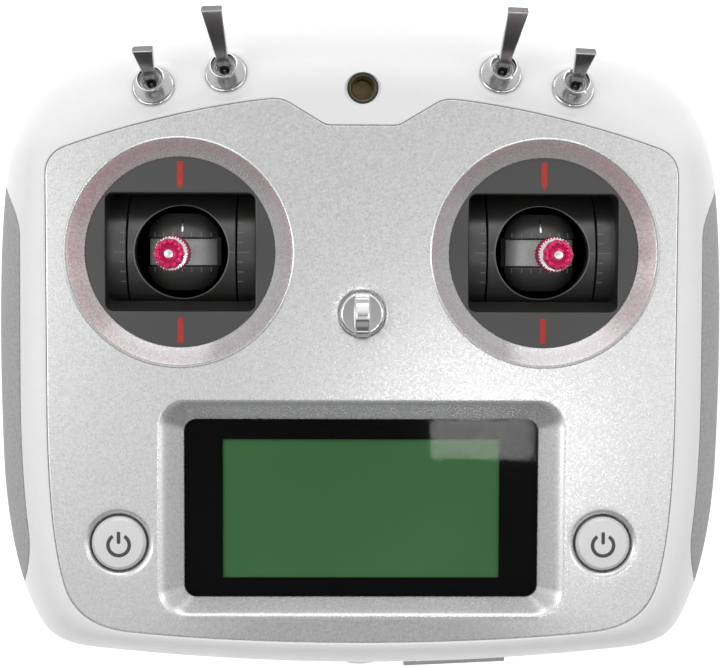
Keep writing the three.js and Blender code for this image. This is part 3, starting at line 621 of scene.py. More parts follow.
def front_shell():
    """The white shell from the faceplate's edge over the shoulder to the parting line."""
    angles = body_angles()
    start = plate_at(angles) * PLATE_GAP + EDGE
    meet = np.maximum(flat_at(angles), start) + 0.8
    end_lift = np.full(len(angles), math.acos(BORDER / (RIM_Z - PARTING_Z)))
    grip_lift = lift_of(angles, grip_front_at(angles))
    stop = moved_along(dome, angles, grip_lift, -BORDER)
    stop = np.where(in_grip(angles), np.minimum(end_lift, stop), end_lift)
    rows = []
    normals = []
    for t in np.linspace(0, 1, 9)[:-1]:
        r = start + (meet - start) * t
        flat_part = r < flat_at(angles)
        lift = lift_of(angles, r)
        place = dome(angles, lift)
        place[flat_part] = polar(angles, r, np.full(len(angles), RIM_Z))[flat_part]
        rows.append(place)
        normals.append(facing(dome, angles, lift))
    meet_lift = lift_of(angles, meet)
    count = 40
    for i in range(count):
        rung = meet_lift + (end_lift - meet_lift) * i / (count - 1)
        lift = np.minimum(rung, stop - CREEP * (count - 1 - i))
        rows.append(dome(angles, lift))
        normals.append(facing(dome, angles, lift))
    grid = seated(np.array(rows))
    sheet = looped(thick(grid, np.array(normals), SHELL_T))
    above = RIM_Z + 2
    profile = [(0, 40), (INSERT_R, 40), (INSERT_R, RIM_Z - 0.75)]
    profile += [(INSERT_MOUTH, RIM_Z + 0.15), (INSERT_MOUTH, above), (0, above)]
    throat = lathe(profile)
    under = RIM_Z - 1.5
    boss = ring([(INSERT_R, 46), (6.2, 46), (6.2, under), (INSERT_R, under)], 0.05)
    shell = cut(sheet, throat.moved(0, INSERT_Y, 0))
    return together(shell, boss.moved(0, INSERT_Y, 0))


def rear_shell():
    """The white shell from the parting line to the back, with the tray and cups inside it."""
    angles = body_angles()
    rim = (1 - (BORDER / REAR_BULGE) ** REAR_POWER) ** (1 / REAR_POWER)
    start = math.acos(rim ** (1 / REAR_SPREAD))
    begin = moved_along(back, angles, fall_of(angles, grip_rear_at(angles)), BORDER)
    begin = np.where(in_grip(angles), np.maximum(start, begin), start)
    rungs = np.linspace(start, np.pi / 2, 60)
    falls = [np.maximum(rung, begin + CREEP * i) for i, rung in enumerate(rungs)]
    grid = np.array([back(angles, fall) for fall in falls])
    normals = np.array([facing(back, angles, fall) for fall in falls])
    sheet = looped(thick(grid, normals, SHELL_T, last_edge=False))
    return together(cut(sheet, together(*rear_openings())), battery_tray(), thumb_bump(), *screw_cups())


def cover_seat():
    """Room for the battery cover, with undercut sides, open at its lower end."""
    narrow = COVER_X - COVER_FLARE + COVER_GAP
    wide = COVER_X + COVER_GAP
    low = COVER_LOW - 20
    high = COVER_HIGH + COVER_GAP
    section = ((narrow, BACK_Z - 6), (narrow, BACK_Z), (wide, BACK_Z + COVER_T + COVER_GAP))
    return capped([loop_at([(-x, low), (x, low), (x, high), (-x, high)], z) for x, z in section])


def rear_openings():
    """What is cut out of the rear shell."""
    tools = [cover_seat()]
    for side in SIDES.values():
        for (x, y), (w, h), top, corner in ((DIAL, DIAL_SLOT, 31, 0.8), (KEY, KEY_HOLE, 22, 0.5)):
            hole = block(-w / 2, w / 2, -h / 2, h / 2, HOLE_LOW, top, 0.1, corner)
            tools.append(hole.moved(side * x, y, 0))
        tools += [rod(WELL, HOLE_LOW, WELL_TOP).moved(side * x, y, 0) for x, y in SCREWS]
    tools.append(block(*PORT_HOLE, 0.1, 0.5).put(PORT))
    return tools


def battery_tray():
    """The seat's floor and the open box for the cells."""
    wall = 1.5
    floor = BACK_Z + COVER_T + COVER_GAP
    x0, x1, y0, y1 = BAY
    half = COVER_X + 3
    top = COVER_HIGH + 3
    end = np.linspace(np.pi + TRAY_END, np.pi - TRAY_END, 25)
    follow = outer_at(end) * TRAY_REACH - TRAY_INSET
    edge = np.stack([follow * np.sin(end), follow * np.cos(end)], axis=-1)
    shape = np.concatenate([edge, [(half, top), (-half, top)]])
    seat = slab(shape, floor, floor + wall, 0.1, 0.1)
    box = block(x0 - wall, x1 + wall, y0 - wall, y1 + wall, floor + wall, BAY_TOP + wall)
    room = block(x0, x1, y0, y1, floor - 5, BAY_TOP, 0.1, 0.8)
    return together(cut(seat, room), cut(box, room))


def screw_cups():
    """The sunk cups that the case screws sit in."""
    top = WELL_TOP + SHELL_T
    foot = BACK_Z + 0.3
    outside = WELL + 1.5
    profile = [(WELL, foot), (outside, foot), (outside, top)]
    profile += [(SCREW_HOLE, top), (SCREW_HOLE, WELL_TOP), (WELL, WELL_TOP)]
    cup = ring(profile, 0.1, 64)
    return [cup.moved(side * x, y, 0) for side in SIDES.values() for x, y in SCREWS]


def thumb_bump():
    """The small swelling in the middle of the lower wall."""
    over = ((-4, -82.3), (4, -82.3), (7.2, -79.0))
    path = outline((-7.8, -76), ((-7.2, -79.0),), over, ((7.8, -76),), steps=16)
    return slab(path, 24, 34, 0.6, 0.6)


def grip(side):
    """A rubber side, from its edge on the shoulder round to its edge on the back."""
    low, high = GRIP_ANGLES
    short = 0.0025
    least = 0.02
    angles = np.linspace(low + short, high - short, 260)
    front = lift_of(angles, grip_front_at(angles))
    front = np.minimum(moved_along(dome, angles, front, BORDER), np.pi / 2 - least)
    rear = fall_of(angles, grip_rear_at(angles))
    rear = np.maximum(moved_along(back, angles, rear, -BORDER), least)
    lifts = [front + (np.pi / 2 - front) * t for t in np.linspace(0, 1, 24)[:-1]]
    falls = [rear * t for t in np.linspace(0.001, 1, 50)]
    places = [(dome, lift) for lift in lifts] + [(back, fall) for fall in falls]
    rows = [surface(angles, place) for surface, place in places]
    normals = [facing(surface, angles, place) for surface, place in places]
    loops = thick(np.array(rows), np.array(normals), GRIP_T)
    shape = woven(loops, closed_rows=True)
    columns = len(angles)
    count = len(loops)
    shape.faces.append(tuple(r * columns for r in range(count)))
    shape.faces.append(tuple(r * columns + columns - 1 for r in range(count))[::-1])
    return shape if side > 0 else shape.mirrored()


# ---- Faceplate ----


def both_halves(path):
    """A closed anticlockwise outline from its right half, which runs from the top to the bottom."""
    left = path[1:-1] * (-1, 1)
    return np.concatenate([path, left[::-1]])[::-1]


def spread(path, spacing):
    """A closed outline with its long edges divided."""
    out = []
    for a, b in zip(path, np.roll(path, -1, axis=0)):
        pieces = max(1, round(np.linalg.norm(b - a) / spacing))
        out += [a + (b - a) * i / pieces for i in range(pieces)]
    return np.array(out)


def band_drop(x, y):
    """How far the faceplate's lower band has sloped away."""
    fade = 1 - smooth(20, CREASE_HALF, np.abs(x))
    return BAND_SLOPE * np.maximum(0, CREASE_Y - y) * fade


def inside(points, loop):
    """Which points lie within a closed loop."""
    x, y = points[:, :1], points[:, 1:]
    a = loop
    b = np.roll(loop, -1, axis=0)
    spans = (a[:, 1] > y) != (b[:, 1] > y)
    slope = (b[:, 0] - a[:, 0]) / np.where(b[:, 1] == a[:, 1], 1e-12, b[:, 1] - a[:, 1])
    crossing = spans & (x < a[:, 0] + (y - a[:, 1]) * slope)
    return np.sum(crossing, axis=1) % 2 == 1


def flat_sheet(rim, holes, spacing):
    """A flat mesh between an outline and its holes, with a row of edges along the crease."""
    clear = 0.6
    loops = [rim] + holes
    points = []
    edges = []
    for loop in loops:
        first = len(points)
        points += [tuple(p) for p in loop]
        edges += [(first + i, first + (i + 1) % len(loop)) for i in range(len(loop))]
    crease = len(points)
    ends = np.arange(-CREASE_HALF, CREASE_HALF + 0.1, 2.0)
    points += [(x, CREASE_Y) for x in ends]
    edges += [(crease + i, crease + i + 1) for i in range(len(ends) - 1)]
    (left, right), (bottom, top) = PLATE_SPAN
    xs = np.arange(left, right, spacing)
    ys = np.arange(bottom, top, spacing)
    grid = np.array([(x, y) for x in xs for y in ys])
    keep = inside(grid, inset(rim, clear)) & (np.abs(grid[:, 1] - CREASE_Y) > 0.4)
    for hole in holes:
        keep &= ~inside(grid, inset(hole, -clear))
    points += [tuple(p) for p in grid[keep]]
    found = delaunay_2d_cdt([Vector(p) for p in points], edges, [], 0, 1e-5)
    flat = np.array([tuple(v) for v in found[0]])
    faces = [face for face in found[2] if len(face) == 3]
    centres = np.array([flat[list(face)].mean(axis=0) for face in faces])
    good = inside(centres, rim)
    for hole in holes:
        good &= ~inside(centres, hole)
    kept = [face for face, ok in zip(faces, good) if ok]
    return Shape(loop_at(flat, 0), kept)


def bowl():
    """The shallow dish round a gimbal, with a raised lip."""
    lip = [(0, 0), (-0.12, 0.12), (-0.3, 0.2), (-0.5, 0.16)]
    foot = [(0.3, 0.12), (0.08, 0), (0, -0.15), (0, -0.28)]
    profile = [(BOWL_LIP + r, z) for r, z in lip]
    profile += [(BOWL_TOP, -0.1), (BOWL_TOP - 0.3, -0.25)]
    profile += [(BOWL_BOTTOM + r, z - BOWL_DEPTH) for r, z in foot]
    return lathe(profile, 192)


def screen_frame():
    """The loops of the sloping frame round the screen."""
    top = np.array([*FRAME, FRAME_Y])
    foot = np.array([*WINDOW, LENS_Y])
    steps = [(0, 0), (0.05, -0.03), (0.1, -0.11), (0.16, -0.27), (0.23, -0.52), (0.31, -0.86), (0.4, -1.26)]
    steps += [(0.6, -2.2), (0.8, -3.15), (0.96, -3.92), (0.99, -4.1), (1, -4.25), (1, -4.6)]
    loops = []
    for share, z in steps:
        w, h, r, y = top + (foot - top) * share
        loops.append(loop_at(rounded_rectangle(w, h, r, 12) + (0, y), z))
    return loops


def faceplate():
    """The silver plate with its bowls, the recesses of the buttons and the eyelet, and the frame."""
    rim_path = spread(both_halves(PLATE_PATH), 1.5)
    round_edge = 0.3
    rim = inset(rim_path, round_edge)
    frame_loops = screen_frame()
    recess = [(8.6, 0), (8.2, -0.03), (7.7, -0.16), (7.3, -0.4), (7.05, -0.75), (7.0, -1.1), (7.0, -4)]
    eye = [(6.3, 0), (6.1, -0.03), (5.9, -0.12), (5.7, -0.3), (5.6, -0.6), (5.6, -2.5), (2.4, -2.5)]
    sides = SIDES.values()
    holes = [circle(BOWL_LIP, 192) + (side * GIMBAL_X, GIMBAL_Y) for side in sides]
    holes += [circle(recess[0][0]) + (side * POWER_X, POWER_Y) for side in sides]
    holes += [circle(eye[0][0]) + (0, EYELET_Y), frame_loops[0][:, :2]]
    top = flat_sheet(rim, holes, 2.2)
    skirt = []
    for t in np.linspace(0, np.pi / 2, 4):
        edge = inset(rim_path, round_edge * (1 - math.sin(t)))
        skirt.append(loop_at(edge, -round_edge * (1 - math.cos(t))))
    skirt.append(loop_at(rim_path, -2))
    pieces = [top, woven(skirt, closed_columns=True), woven(frame_loops, closed_columns=True)]
    pieces += [bowl().moved(side * GIMBAL_X, GIMBAL_Y, 0) for side in sides]
    pieces += [lathe(recess).moved(side * POWER_X, POWER_Y, 0) for side in sides]
    pieces.append(lathe(eye).moved(0, EYELET_Y, 0))
    plate = together(*pieces)
    plate.points[:, 2] -= band_drop(plate.points[:, 0], plate.points[:, 1])
    return plate.moved(0, 0, FACE_Z)


# ---- Screen ----


def lens():
    return slab(rounded_rectangle(*LENS), FACE_Z - 5.1, FACE_Z - 4.5, 0.1, 0.1).moved(0, LENS_Y, 0)


def lens_border():
    """The black print on the back of the lens, round the display's window."""
    outside = rounded_rectangle(*PRINTED, 6) + (0, LENS_Y)
    inner = rounded_rectangle(*LCD_ACTIVE, 6) + (0, LCD_Y)
    section = ((outside, -5.2), (inner, -5.2), (inner, -5.5), (outside, -5.5))
    return looped([loop_at(edge, FACE_Z + z) for edge, z in section])


def lcd():
    half_w, half_h = LCD_HALF
    return block(-half_w, half_w, LCD_Y - half_h, LCD_Y + half_h, FACE_Z - 9.4, FACE_Z - 5.9)


# ---- Small pieces of the face ----


def power_button():
    profile = [(0, -6), (7.4, -6), (7.4, -4.8), (6.45, -4.8), (6.45, -0.25), (5.75, 0.42), (0, 0.46)]
    return lathe(eased(profile, 0.16, 3), 128).moved(0, 0, FACE_Z)


def standby_symbol():
    """A broken ring with a bar in its gap."""
    high = FACE_Z + 0.49
    low = FACE_Z + 0.3
    gap = math.radians(33)
    turn = np.linspace(np.pi / 2 + gap, 2.5 * np.pi - gap, 48)
    ways = np.column_stack([np.cos(turn), np.sin(turn)])
    edge = np.concatenate([ways * 2.95, ways[::-1] * 2.1])
    arc = capped([loop_at(edge, z) for z in (low, high)])
    bar = slab(rounded_rectangle(0.85, 3.0, 0.4, 4), low, high, 0.02, 0.02).moved(0, 1.75, 0)
    return together(arc, bar).moved(0, -0.35, 0)


def eyelet():
    """A round stud with an arched loop for a neck strap."""
    disc = lathe(eased([(0, -2.4), (5.2, -2.4), (5.2, 0.3), (4.8, 0.6), (0, 0.6)], 0.3, 4), 128)
    section = rounded_rectangle(3.5, 2.1, 0.5, 5)
    arch = 4.15
    leg = 4.2
    path = [(arch, z, 0.0) for z in np.linspace(0, leg, 5)[:-1]]
    for t in np.linspace(0, np.pi, 33):
        path.append((arch * math.cos(t), leg + arch * math.sin(t), t))
    path += [(-arch, z, np.pi) for z in np.linspace(leg, 0, 5)[1:]]
    loops = []
    for y, z, t in path:
        radial = section[:, 1]
        loops.append(np.column_stack([section[:, 0], y + radial * math.cos(t), z + radial * math.sin(t)]))
    return together(disc, capped(loops)).moved(0, EYELET_Y, FACE_Z)


def insert():
    """The black rim of the phone holder's sleeve."""
    top = RIM_Z - 0.55
    rim = ring([(2.95, top - 3), (3.62, top - 3), (3.62, top), (3.0, top - 0.1)], 0.12)
    return rim.moved(0, INSERT_Y, 0)


def insert_thread():
    """The bore for the holder's screw, with a quarter-inch camera thread."""
    pitch = 1.27
    deep = 10
    crest = 2.45
    depth = 0.5
    rows = []
    for z in np.arange(0, deep, 0.1):
        phase = (z / pitch - turns(96) / (2 * np.pi)) % 1
        r = crest + depth * np.abs(2 * phase - 1)
        rows.append(loop_at(circle(1) * r[:, None], z))
    bore = woven(rows, closed_columns=True)
    floor = rod(3.2, -0.4, 0, 48)
    sleeve = lathe([(3.2, 0), (3.4, 0), (3.4, deep), (2.9, deep)], 48)
    return together(bore, floor, sleeve).moved(0, INSERT_Y, RIM_Z - deep - 0.8)


# ---- Switches, in their own frames ----


def dress_nut():
    """The cone round a switch's bush, with a notch across it for a wrench."""
    profile = [(2.5, -0.2), (5.1, -0.2), (5.1, 0.55), (4.75, 0.78), (4.6, 0.7), (4.45, 1.05)]
    profile += [(3.5, 3.7), (3.3, 4.5), (2.95, 4.5), (2.75, 3.4), (2.5, 3.3)]
    nut = lathe(eased(profile, 0.1, 2, closed=True), 128, closed=True)
    notch = block(-0.4, 0.4, -5, 5, 4.0, 6, 0.02, 0.05)
    return cut(nut, notch.turned(35, "Z"))


def switch_bush():
    return ring([(1.9, 0.5), (2.4, 0.5), (2.4, 3.0), (2.15, 3.3), (1.9, 3.1)], 0.08, 64)


def lever(reach_mm):
    """A flat paddle that widens to its tip, on a ball."""
    stations = [
        (-1.4, 2.2, 1.3, 0.3),
        (3.0, 2.6, 1.5, 0.3),
        (reach_mm - 0.5, 4.75, 1.75, 0.35),
        (reach_mm - 0.2, 4.8, 1.8, 0.4),
        (reach_mm - 0.05, 4.7, 1.7, 0.4),
        (reach_mm, 4.45, 1.45, 0.4),
    ]
    loops = [loop_at(rounded_rectangle(w, d, r, 5), z) for z, w, d, r in stations]
    ball = globe(0.9, 17, 48)
    lean = Matrix.Translation((0, 0, LEVER_PIVOT)) @ Matrix.Rotation(-LEVER_THROW, 4, "X")
    return together(capped(loops), ball).put(lean)


# ---- Gimbals, round their own pivots ----


def bezel():
    """The dark disc with its rectangular opening, whose lower wall slopes."""
    opening = spread(rounded_rectangle(BEZEL_W, BEZEL_H, 1.8, 10), 1.5)
    ways = opening / np.linalg.norm(opening, axis=1, keepdims=True)
    loops = []
    for drop, r in ((1.6, BEZEL_R), (0.2, BEZEL_R), (0.05, BEZEL_R - 0.05), (0, BEZEL_R - 0.2)):
        loops.append(loop_at(ways * r, BEZEL_TOP - drop))
    lip = ((0, 0.4, 0), (0.08, 0.2, 0), (0.25, 0.05, 0), (0.5, 0, 0))
    walls = ((6.5, 0, 2.1), (10.2, 0, 0), (10.2, 1.2, 0), (1.6, 1.2, 0))
    for drop, grow, slope in lip + walls:
        loop = inset(opening, -grow)
        lower = 1 - smooth(-BEZEL_H / 2, -BEZEL_H / 2 + 3, loop[:, 1])
        loops.append(loop_at(loop + np.outer(lower, (0, slope)), BEZEL_TOP - drop))
    return looped(loops)


def strip(profile, half_angle, steps=60):
    """A closed profile of (x, radius) points swept about the X axis, either side of straight up."""
    x, r = np.asarray(profile, float).T
    sweep = np.linspace(-half_angle, half_angle, steps)
    return capped([np.column_stack([x, r * math.sin(t), r * math.cos(t)]) for t in sweep])


def cheeks():
    """The fixed curved covers on both sides of the drum."""
    half_angle = math.asin(CHEEK_HALF / DRUM_R)
    low = DRUM_R - 1.3
    corners = [(CHEEK_START, low), (CHEEK_START, DRUM_R), (CHEEK_END, DRUM_R), (CHEEK_END, low)]
    profile = eased(corners, 0.25, 3, closed=True)
    return paired(strip(profile, half_angle))


def drum():
    """The part that tilts up and down, with the well round the ball."""
    corners = [(0, -DRUM_HALF), (DRUM_R, -DRUM_HALF), (DRUM_R, DRUM_HALF), (0, DRUM_HALF)]
    barrel = lathe(eased(corners, 0.3, 4), 192).turned(90, "Y")
    floor = slab(rounded_rectangle(60, 60, 1, 2), -40, -5, 0.1, 0.1)
    well = rod(WELL_R, -1, 30, 160)
    return cut(barrel, floor, well)


def well_liner():
    """A black sheet lining the well round the ball, with a floor under it: painted shade for the deep gap.
    """
    r = WELL_R - 0.02
    return lathe([(0, -0.9), (r, -0.9), (r, 10.0), (r - 0.15, 10.0), (r - 0.15, -0.75), (0, -0.75)], 160)


def saddle_ring(r, radius, width, lift):
    """A thin rim that lies on a cylinder about X, along the edge of a round hole."""
    loops = []
    for t in turns(8):
        edge = circle(r + width * math.cos(t), 160)
        z = np.sqrt(np.maximum(radius**2 - edge[:, 1] ** 2, 0)) + lift * math.sin(t)
        loops.append(np.column_stack([edge, z]))
    return looped(loops)


def inner_dome():
    """The ball inside the well, its sides cut away, with the slot for the stick."""
    ball = globe(DOME_R, 60, 160)
    column = slab(rounded_rectangle(*BALL, BALL_CORNER, 12), 0, 30, 0.1, 0.1)
    slot = block(-20, 20, -SLOT / 2, SLOT / 2, 1, 30, 0.05, 0.05)
    return bevelled(cut(combined(ball, "INTERSECT", column), slot), 0.15)


def slider():
    """The curved cover that follows the stick in the slot, with the stick's hub."""
    half = SLIDER_W / 2
    low = SLIDER_R - 0.9
    corners = [(-half, low), (-half, SLIDER_R), (half, SLIDER_R), (half, low)]
    plate = strip(eased(corners, 0.12, 2, closed=True), SLIDER_SWEEP).turned(90, "Z")
    hub = rod(3, -3.5, SLIDER_R - 0.3, 48, 0.2)
    axle = rod(1.5, -9, 9, 32).turned(90, "X")
    return together(plate, hub, axle)


def shaft():
    profile = [(0, 2.5), (1.5, 2.5), (1.5, 38.8), (1.0, 39.2), (1.0, 45.0), (0.95, 45.12), (0, 45.15)]
    return lathe(eased(profile, 0.12, 2), 48)


def fluted(stations, depth, teeth, sides=264):
    """A closed stack of round sections whose radius dips between teeth, each by its own depth."""
    wave = 0.5 - 0.5 * np.cos(teeth * turns(sides))
    loops = []
    for (r, z), dip in zip(stations, depth):
        loops.append(loop_at(circle(1, sides) * (r - dip * wave)[:, None], z))
    return looped(loops)


def knob():
    """The magenta crown, wider towards its fluted and dished top."""
    stations = [(2.7, 38.4), (2.75, 38.5), (2.75, 40.2), (2.85, 41.5), (3.2, 43.2)]
    dips = [0, 0, 0, 0.1, 0.3]
    stations += [(3.45, 44.0), (3.42, 44.4), (3.2, 45.0), (2.6, 45.0), (2.1, 44.8), (1.95, 45.0)]
    dips += [0.14, 0.2, 0.75, 0.45, 0.1, 0]
    stations += [(1.7, 45.0), (1.55, 44.8), (1.5, 44.5), (1.05, 44.45), (1.05, 38.4)]
    dips += [0, 0, 0, 0, 0]
    return fluted(stations, dips, 11)


def knob_rim():
    """The bright knurled collar under the crown."""
    stations = [(2.6, 38.5), (3.7, 38.5), (3.9, 38.75), (3.9, 39.7), (3.7, 39.95), (2.6, 40.1)]
    dips = [0, 0.05, 0.25, 0.25, 0.1, 0]
    return fluted(stations, dips, 34, 408)


def locknut():
    """The knurled nut that holds the knob, with a groove round its middle."""
    stations = [(1.8, 33.5), (3.7, 33.5), (4.05, 33.8), (4.05, 35.5), (3.8, 35.7)]
    stations += [(3.8, 35.9), (4.05, 36.1), (4.05, 37.9), (3.7, 38.2), (1.8, 38.2)]
    dips = [0, 0, 0.2, 0.2, 0.05, 0.05, 0.2, 0.2, 0, 0]
    return fluted(stations, dips, 30, 360)


def sunk_line(x0, x1, radius, low=0.05, high=0.03):
    """The section of a printed line, as (x, radius) points: a little sunk and a little proud."""
    return [(x0, radius - low), (x0, radius + high), (x1, radius + high), (x1, radius - low)]


def tick_on_drum(x0, x1, y):
    """A short printed line along the drum's cylinder."""
    tick = strip(sunk_line(x0, x1, DRUM_R), 0.11 / DRUM_R, steps=3)
    return tick.turned(-math.degrees(math.asin(y / DRUM_R)), "X")


def cheek_ticks():
    """Seven lines on each cheek, the middle one longer."""
    start = CHEEK_START + 0.1
    spacing = 2.35
    marks = [tick_on_drum(start, start + (1.3 if i else 2.9), i * spacing) for i in range(-3, 4)]
    return paired(together(*marks))


def drum_ticks():
    return paired(tick_on_drum(11.6, 12.6, 0.0))


def dome_ticks():
    """Short lines along both sides of the slot, on the ball."""
    spacing = 2.25
    half = 0.1
    marks = []
    for side in (-1, 1):
        for i in range(-3, 4):
            x = i * spacing
            radius = math.sqrt(DOME_R**2 - x**2)
            start = math.asin((SLOT / 2 + 0.15) / radius)
            end = math.asin((SLOT / 2 + 1.25) / radius)
            loops = []
            section = np.array(sunk_line(x - half, x + half, radius, high=0.02))
            for t in np.linspace(start, end, 5):
                loops.append(section[:, [0, 1, 1]] * (1, side * math.sin(t), math.cos(t)))
            marks.append(capped(loops))
    return together(*marks)


def dome_index(low, high, half):
    """A line up the ball from the slot's edge, at x = 0."""
    loops = []
    for y in np.linspace(low, high, 9):
        z = math.sqrt(DOME_R**2 - y**2)
        loops.append(np.array([(x, y, height) for x, height in sunk_line(-half, half, z)]))
    return capped(loops)


def index_bars():
    """The red marks above and below the opening, the upper one pointed and the lower one round."""
    half = 0.72
    end = 21.6
    upper = [(-half, end), (-half, 16.0), (0, 14.9), (half, 16.0), (half, end)]
    lower = [(-half, -end), (half, -end), (half, -16.1), (0.5, -15.6)]
    lower += [(0, -15.4), (-0.5, -15.6), (-half, -16.1)]
    bars = [slab(np.array(edge), BEZEL_TOP - 0.2, BEZEL_TOP + 0.1, 0.05, 0.05) for edge in (upper, lower)]
    return together(*bars)


# ---- Materials ----


def add(tree, kind, **inputs):
    """A new shader node with some of its inputs set. An underscore stands for a space."""
    node = tree.nodes.new(f"ShaderNode{kind}")
    for name, value in inputs.items():
        node.inputs[name.replace("_", " ")].default_value = value
    return node


def multiplied(tree, a, b):
    """The product of two node outputs."""
    node = add(tree, "Math")
    node.operation = "MULTIPLY"
    tree.links.new(a, node.inputs[0])
    tree.links.new(b, node.inputs[1])
    return node.outputs["Value"]


class Paint:
    """A Principled material with a noise that varies it a little."""

    def __init__(self, name, colour, roughness, metallic=0.0, **settings):
        self.material = bpy.data.materials.new(name)
        self.material.use_nodes = True
        self.tree = self.material.node_tree
        self.shader = self.tree.nodes["Principled BSDF"]
        self.set("Base Color", (*colour, 1))
        self.set("Roughness", roughness)
        self.set("Metallic", metallic)
        for key, value in settings.items():
            self.set(key.replace("_", " ").title().replace("Ior", "IOR"), value)
        self.place = add(self.tree, "TexCoord").outputs["Object"]
        self.colour = colour

    def set(self, socket, value):
        self.shader.inputs[socket].default_value = value

    def noise(self, scale, detail=3.0):
        node = add(self.tree, "TexNoise", Scale=scale, Detail=detail)
        self.tree.links.new(self.place, node.inputs["Vector"])
        return node.outputs["Fac"]

    def cells(self, scale):
        node = add(self.tree, "TexVoronoi", Scale=scale)
        self.tree.links.new(self.place, node.inputs["Vector"])
        return node.outputs["Color"]

    def ranged(self, value, low, high, source=(0.3, 0.7)):
        node = add(self.tree, "MapRange", From_Min=source[0], From_Max=source[1], To_Min=low, To_Max=high)
        self.tree.links.new(value, node.inputs["Value"])
        return node.outputs["Result"]

    def varied(self, value, amount, source=(0.3, 0.7)):
        """The base colour made darker and lighter by a share."""
        node = add(self.tree, "Mix")
        node.data_type = "RGBA"
        dark = tuple(c * (1 - amount) for c in self.colour)
        light = tuple(min(1, c * (1 + amount)) for c in self.colour)
        node.inputs["A"].default_value = (*dark, 1)
        node.inputs["B"].default_value = (*light, 1)
        self.tree.links.new(self.ranged(value, 0, 1, source), node.inputs["Factor"])
        self.tree.links.new(node.outputs["Result"], self.shader.inputs["Base Color"])
        return self

    def worn(self, value, low, high):
        """The roughness between two values."""
        self.tree.links.new(self.ranged(value, low, high), self.shader.inputs["Roughness"])
        return self

    def bumped(self, value, strength, distance_mm=0.1):
        node = add(self.tree, "Bump", Strength=strength, Distance=distance_mm * MM)
        self.tree.links.new(value, node.inputs["Height"])
        self.tree.links.new(node.outputs["Normal"], self.shader.inputs["Normal"])
        return self


def plain(name, colour, roughness, metallic=0.0, scale=900, bump=0.08, vary=0.03, **settings):
    """A finish with a fine grain and a slightly uneven gloss."""
    paint = Paint(name, colour, roughness, metallic, **settings)
    grain = paint.noise(scale)
    paint.varied(grain, vary)
    paint.worn(paint.noise(120, 2), roughness * 0.9, roughness * 1.1)
    paint.bumped(grain, bump, 0.05)
    return paint.material


def silver_paint():
    """Metallic paint, whose flakes sparkle."""
    paint = Paint("silver_paint", (0.7, 0.7, 0.702), 0.3, 0.75)
    flakes = paint.cells(2600)
    paint.varied(flakes, 0.1, (0.0, 1.0))
    paint.worn(paint.noise(1500, 2), 0.24, 0.33)
    paint.bumped(flakes, 0.035, 0.05)
    return paint.material


def rubber():
    paint = Paint("grey_rubber", (0.39, 0.392, 0.395), 0.85, specular_ior_level=0.2)
    grain = paint.noise(1400, 4)
    paint.varied(grain, 0.12)
    paint.bumped(grain, 0.6, 0.15)
    return paint.material


def lens_glass():
    """Clear, with a faint and slightly uneven reflection that grows at a low angle."""
    material = bpy.data.materials.new("screen_glass")
    material.use_nodes = True
    tree = material.node_tree
    link = tree.links.new
    tree.nodes.remove(tree.nodes["Principled BSDF"])
    dust = add(tree, "TexNoise", Scale=60)
    link(add(tree, "TexCoord").outputs["Object"], dust.inputs["Vector"])
    spots = add(tree, "MapRange", To_Min=0.9, To_Max=1.1)
    link(dust.outputs["Fac"], spots.inputs["Value"])
    share = add(tree, "MapRange", From_Min=0.1, To_Min=0.003, To_Max=0.25)
    link(add(tree, "LayerWeight").outputs["Facing"], share.inputs["Value"])
    mix = add(tree, "MixShader")
    link(multiplied(tree, spots.outputs["Result"], share.outputs["Result"]), mix.inputs["Fac"])
    link(add(tree, "BsdfTransparent").outputs["BSDF"], mix.inputs[1])
    link(add(tree, "BsdfGlossy", Roughness=0.03).outputs["BSDF"], mix.inputs[2])
    link(mix.outputs["Shader"], tree.nodes["Material Output"].inputs["Surface"])
    return material


def lcd_green():
    paint = Paint("lcd_green", (0.052, 0.155, 0.055), 0.6, specular_ior_level=0.02)
    paint.varied(paint.noise(25, 2), 0.08)
    paint.bumped(paint.noise(4000, 1), 0.03)
    return paint.material


def gimbal_plastic(name, grey, roughness, scale=2200, bump=0.1):
    return plain(name, grey, roughness, scale=scale, bump=bump, vary=0.1, specular_ior_level=1.0)


WHITE = plain("white_shell", (0.82, 0.82, 0.823), 0.4, scale=700, bump=0.03, vary=0.01)
BUTTON = plain("button_silver", (0.72, 0.72, 0.725), 0.4, 0.3, scale=1500, bump=0.04)
SILVER = silver_paint()
RUBBER = rubber()
DARK = gimbal_plastic("gimbal_grey", (0.014, 0.014, 0.013), 0.42, bump=0.12)
DARKER = gimbal_plastic("gimbal_inner", (0.02, 0.02, 0.019), 0.4)
# The slider's light grey is partly its own colour and partly painted sheen from the light overhead.
SLIDER_GREY_AND_SHEEN = gimbal_plastic("slider_grey", (0.24, 0.242, 0.238), 0.42, scale=1800)
BLACK = plain("black_plastic", (0.012, 0.012, 0.013), 0.4)
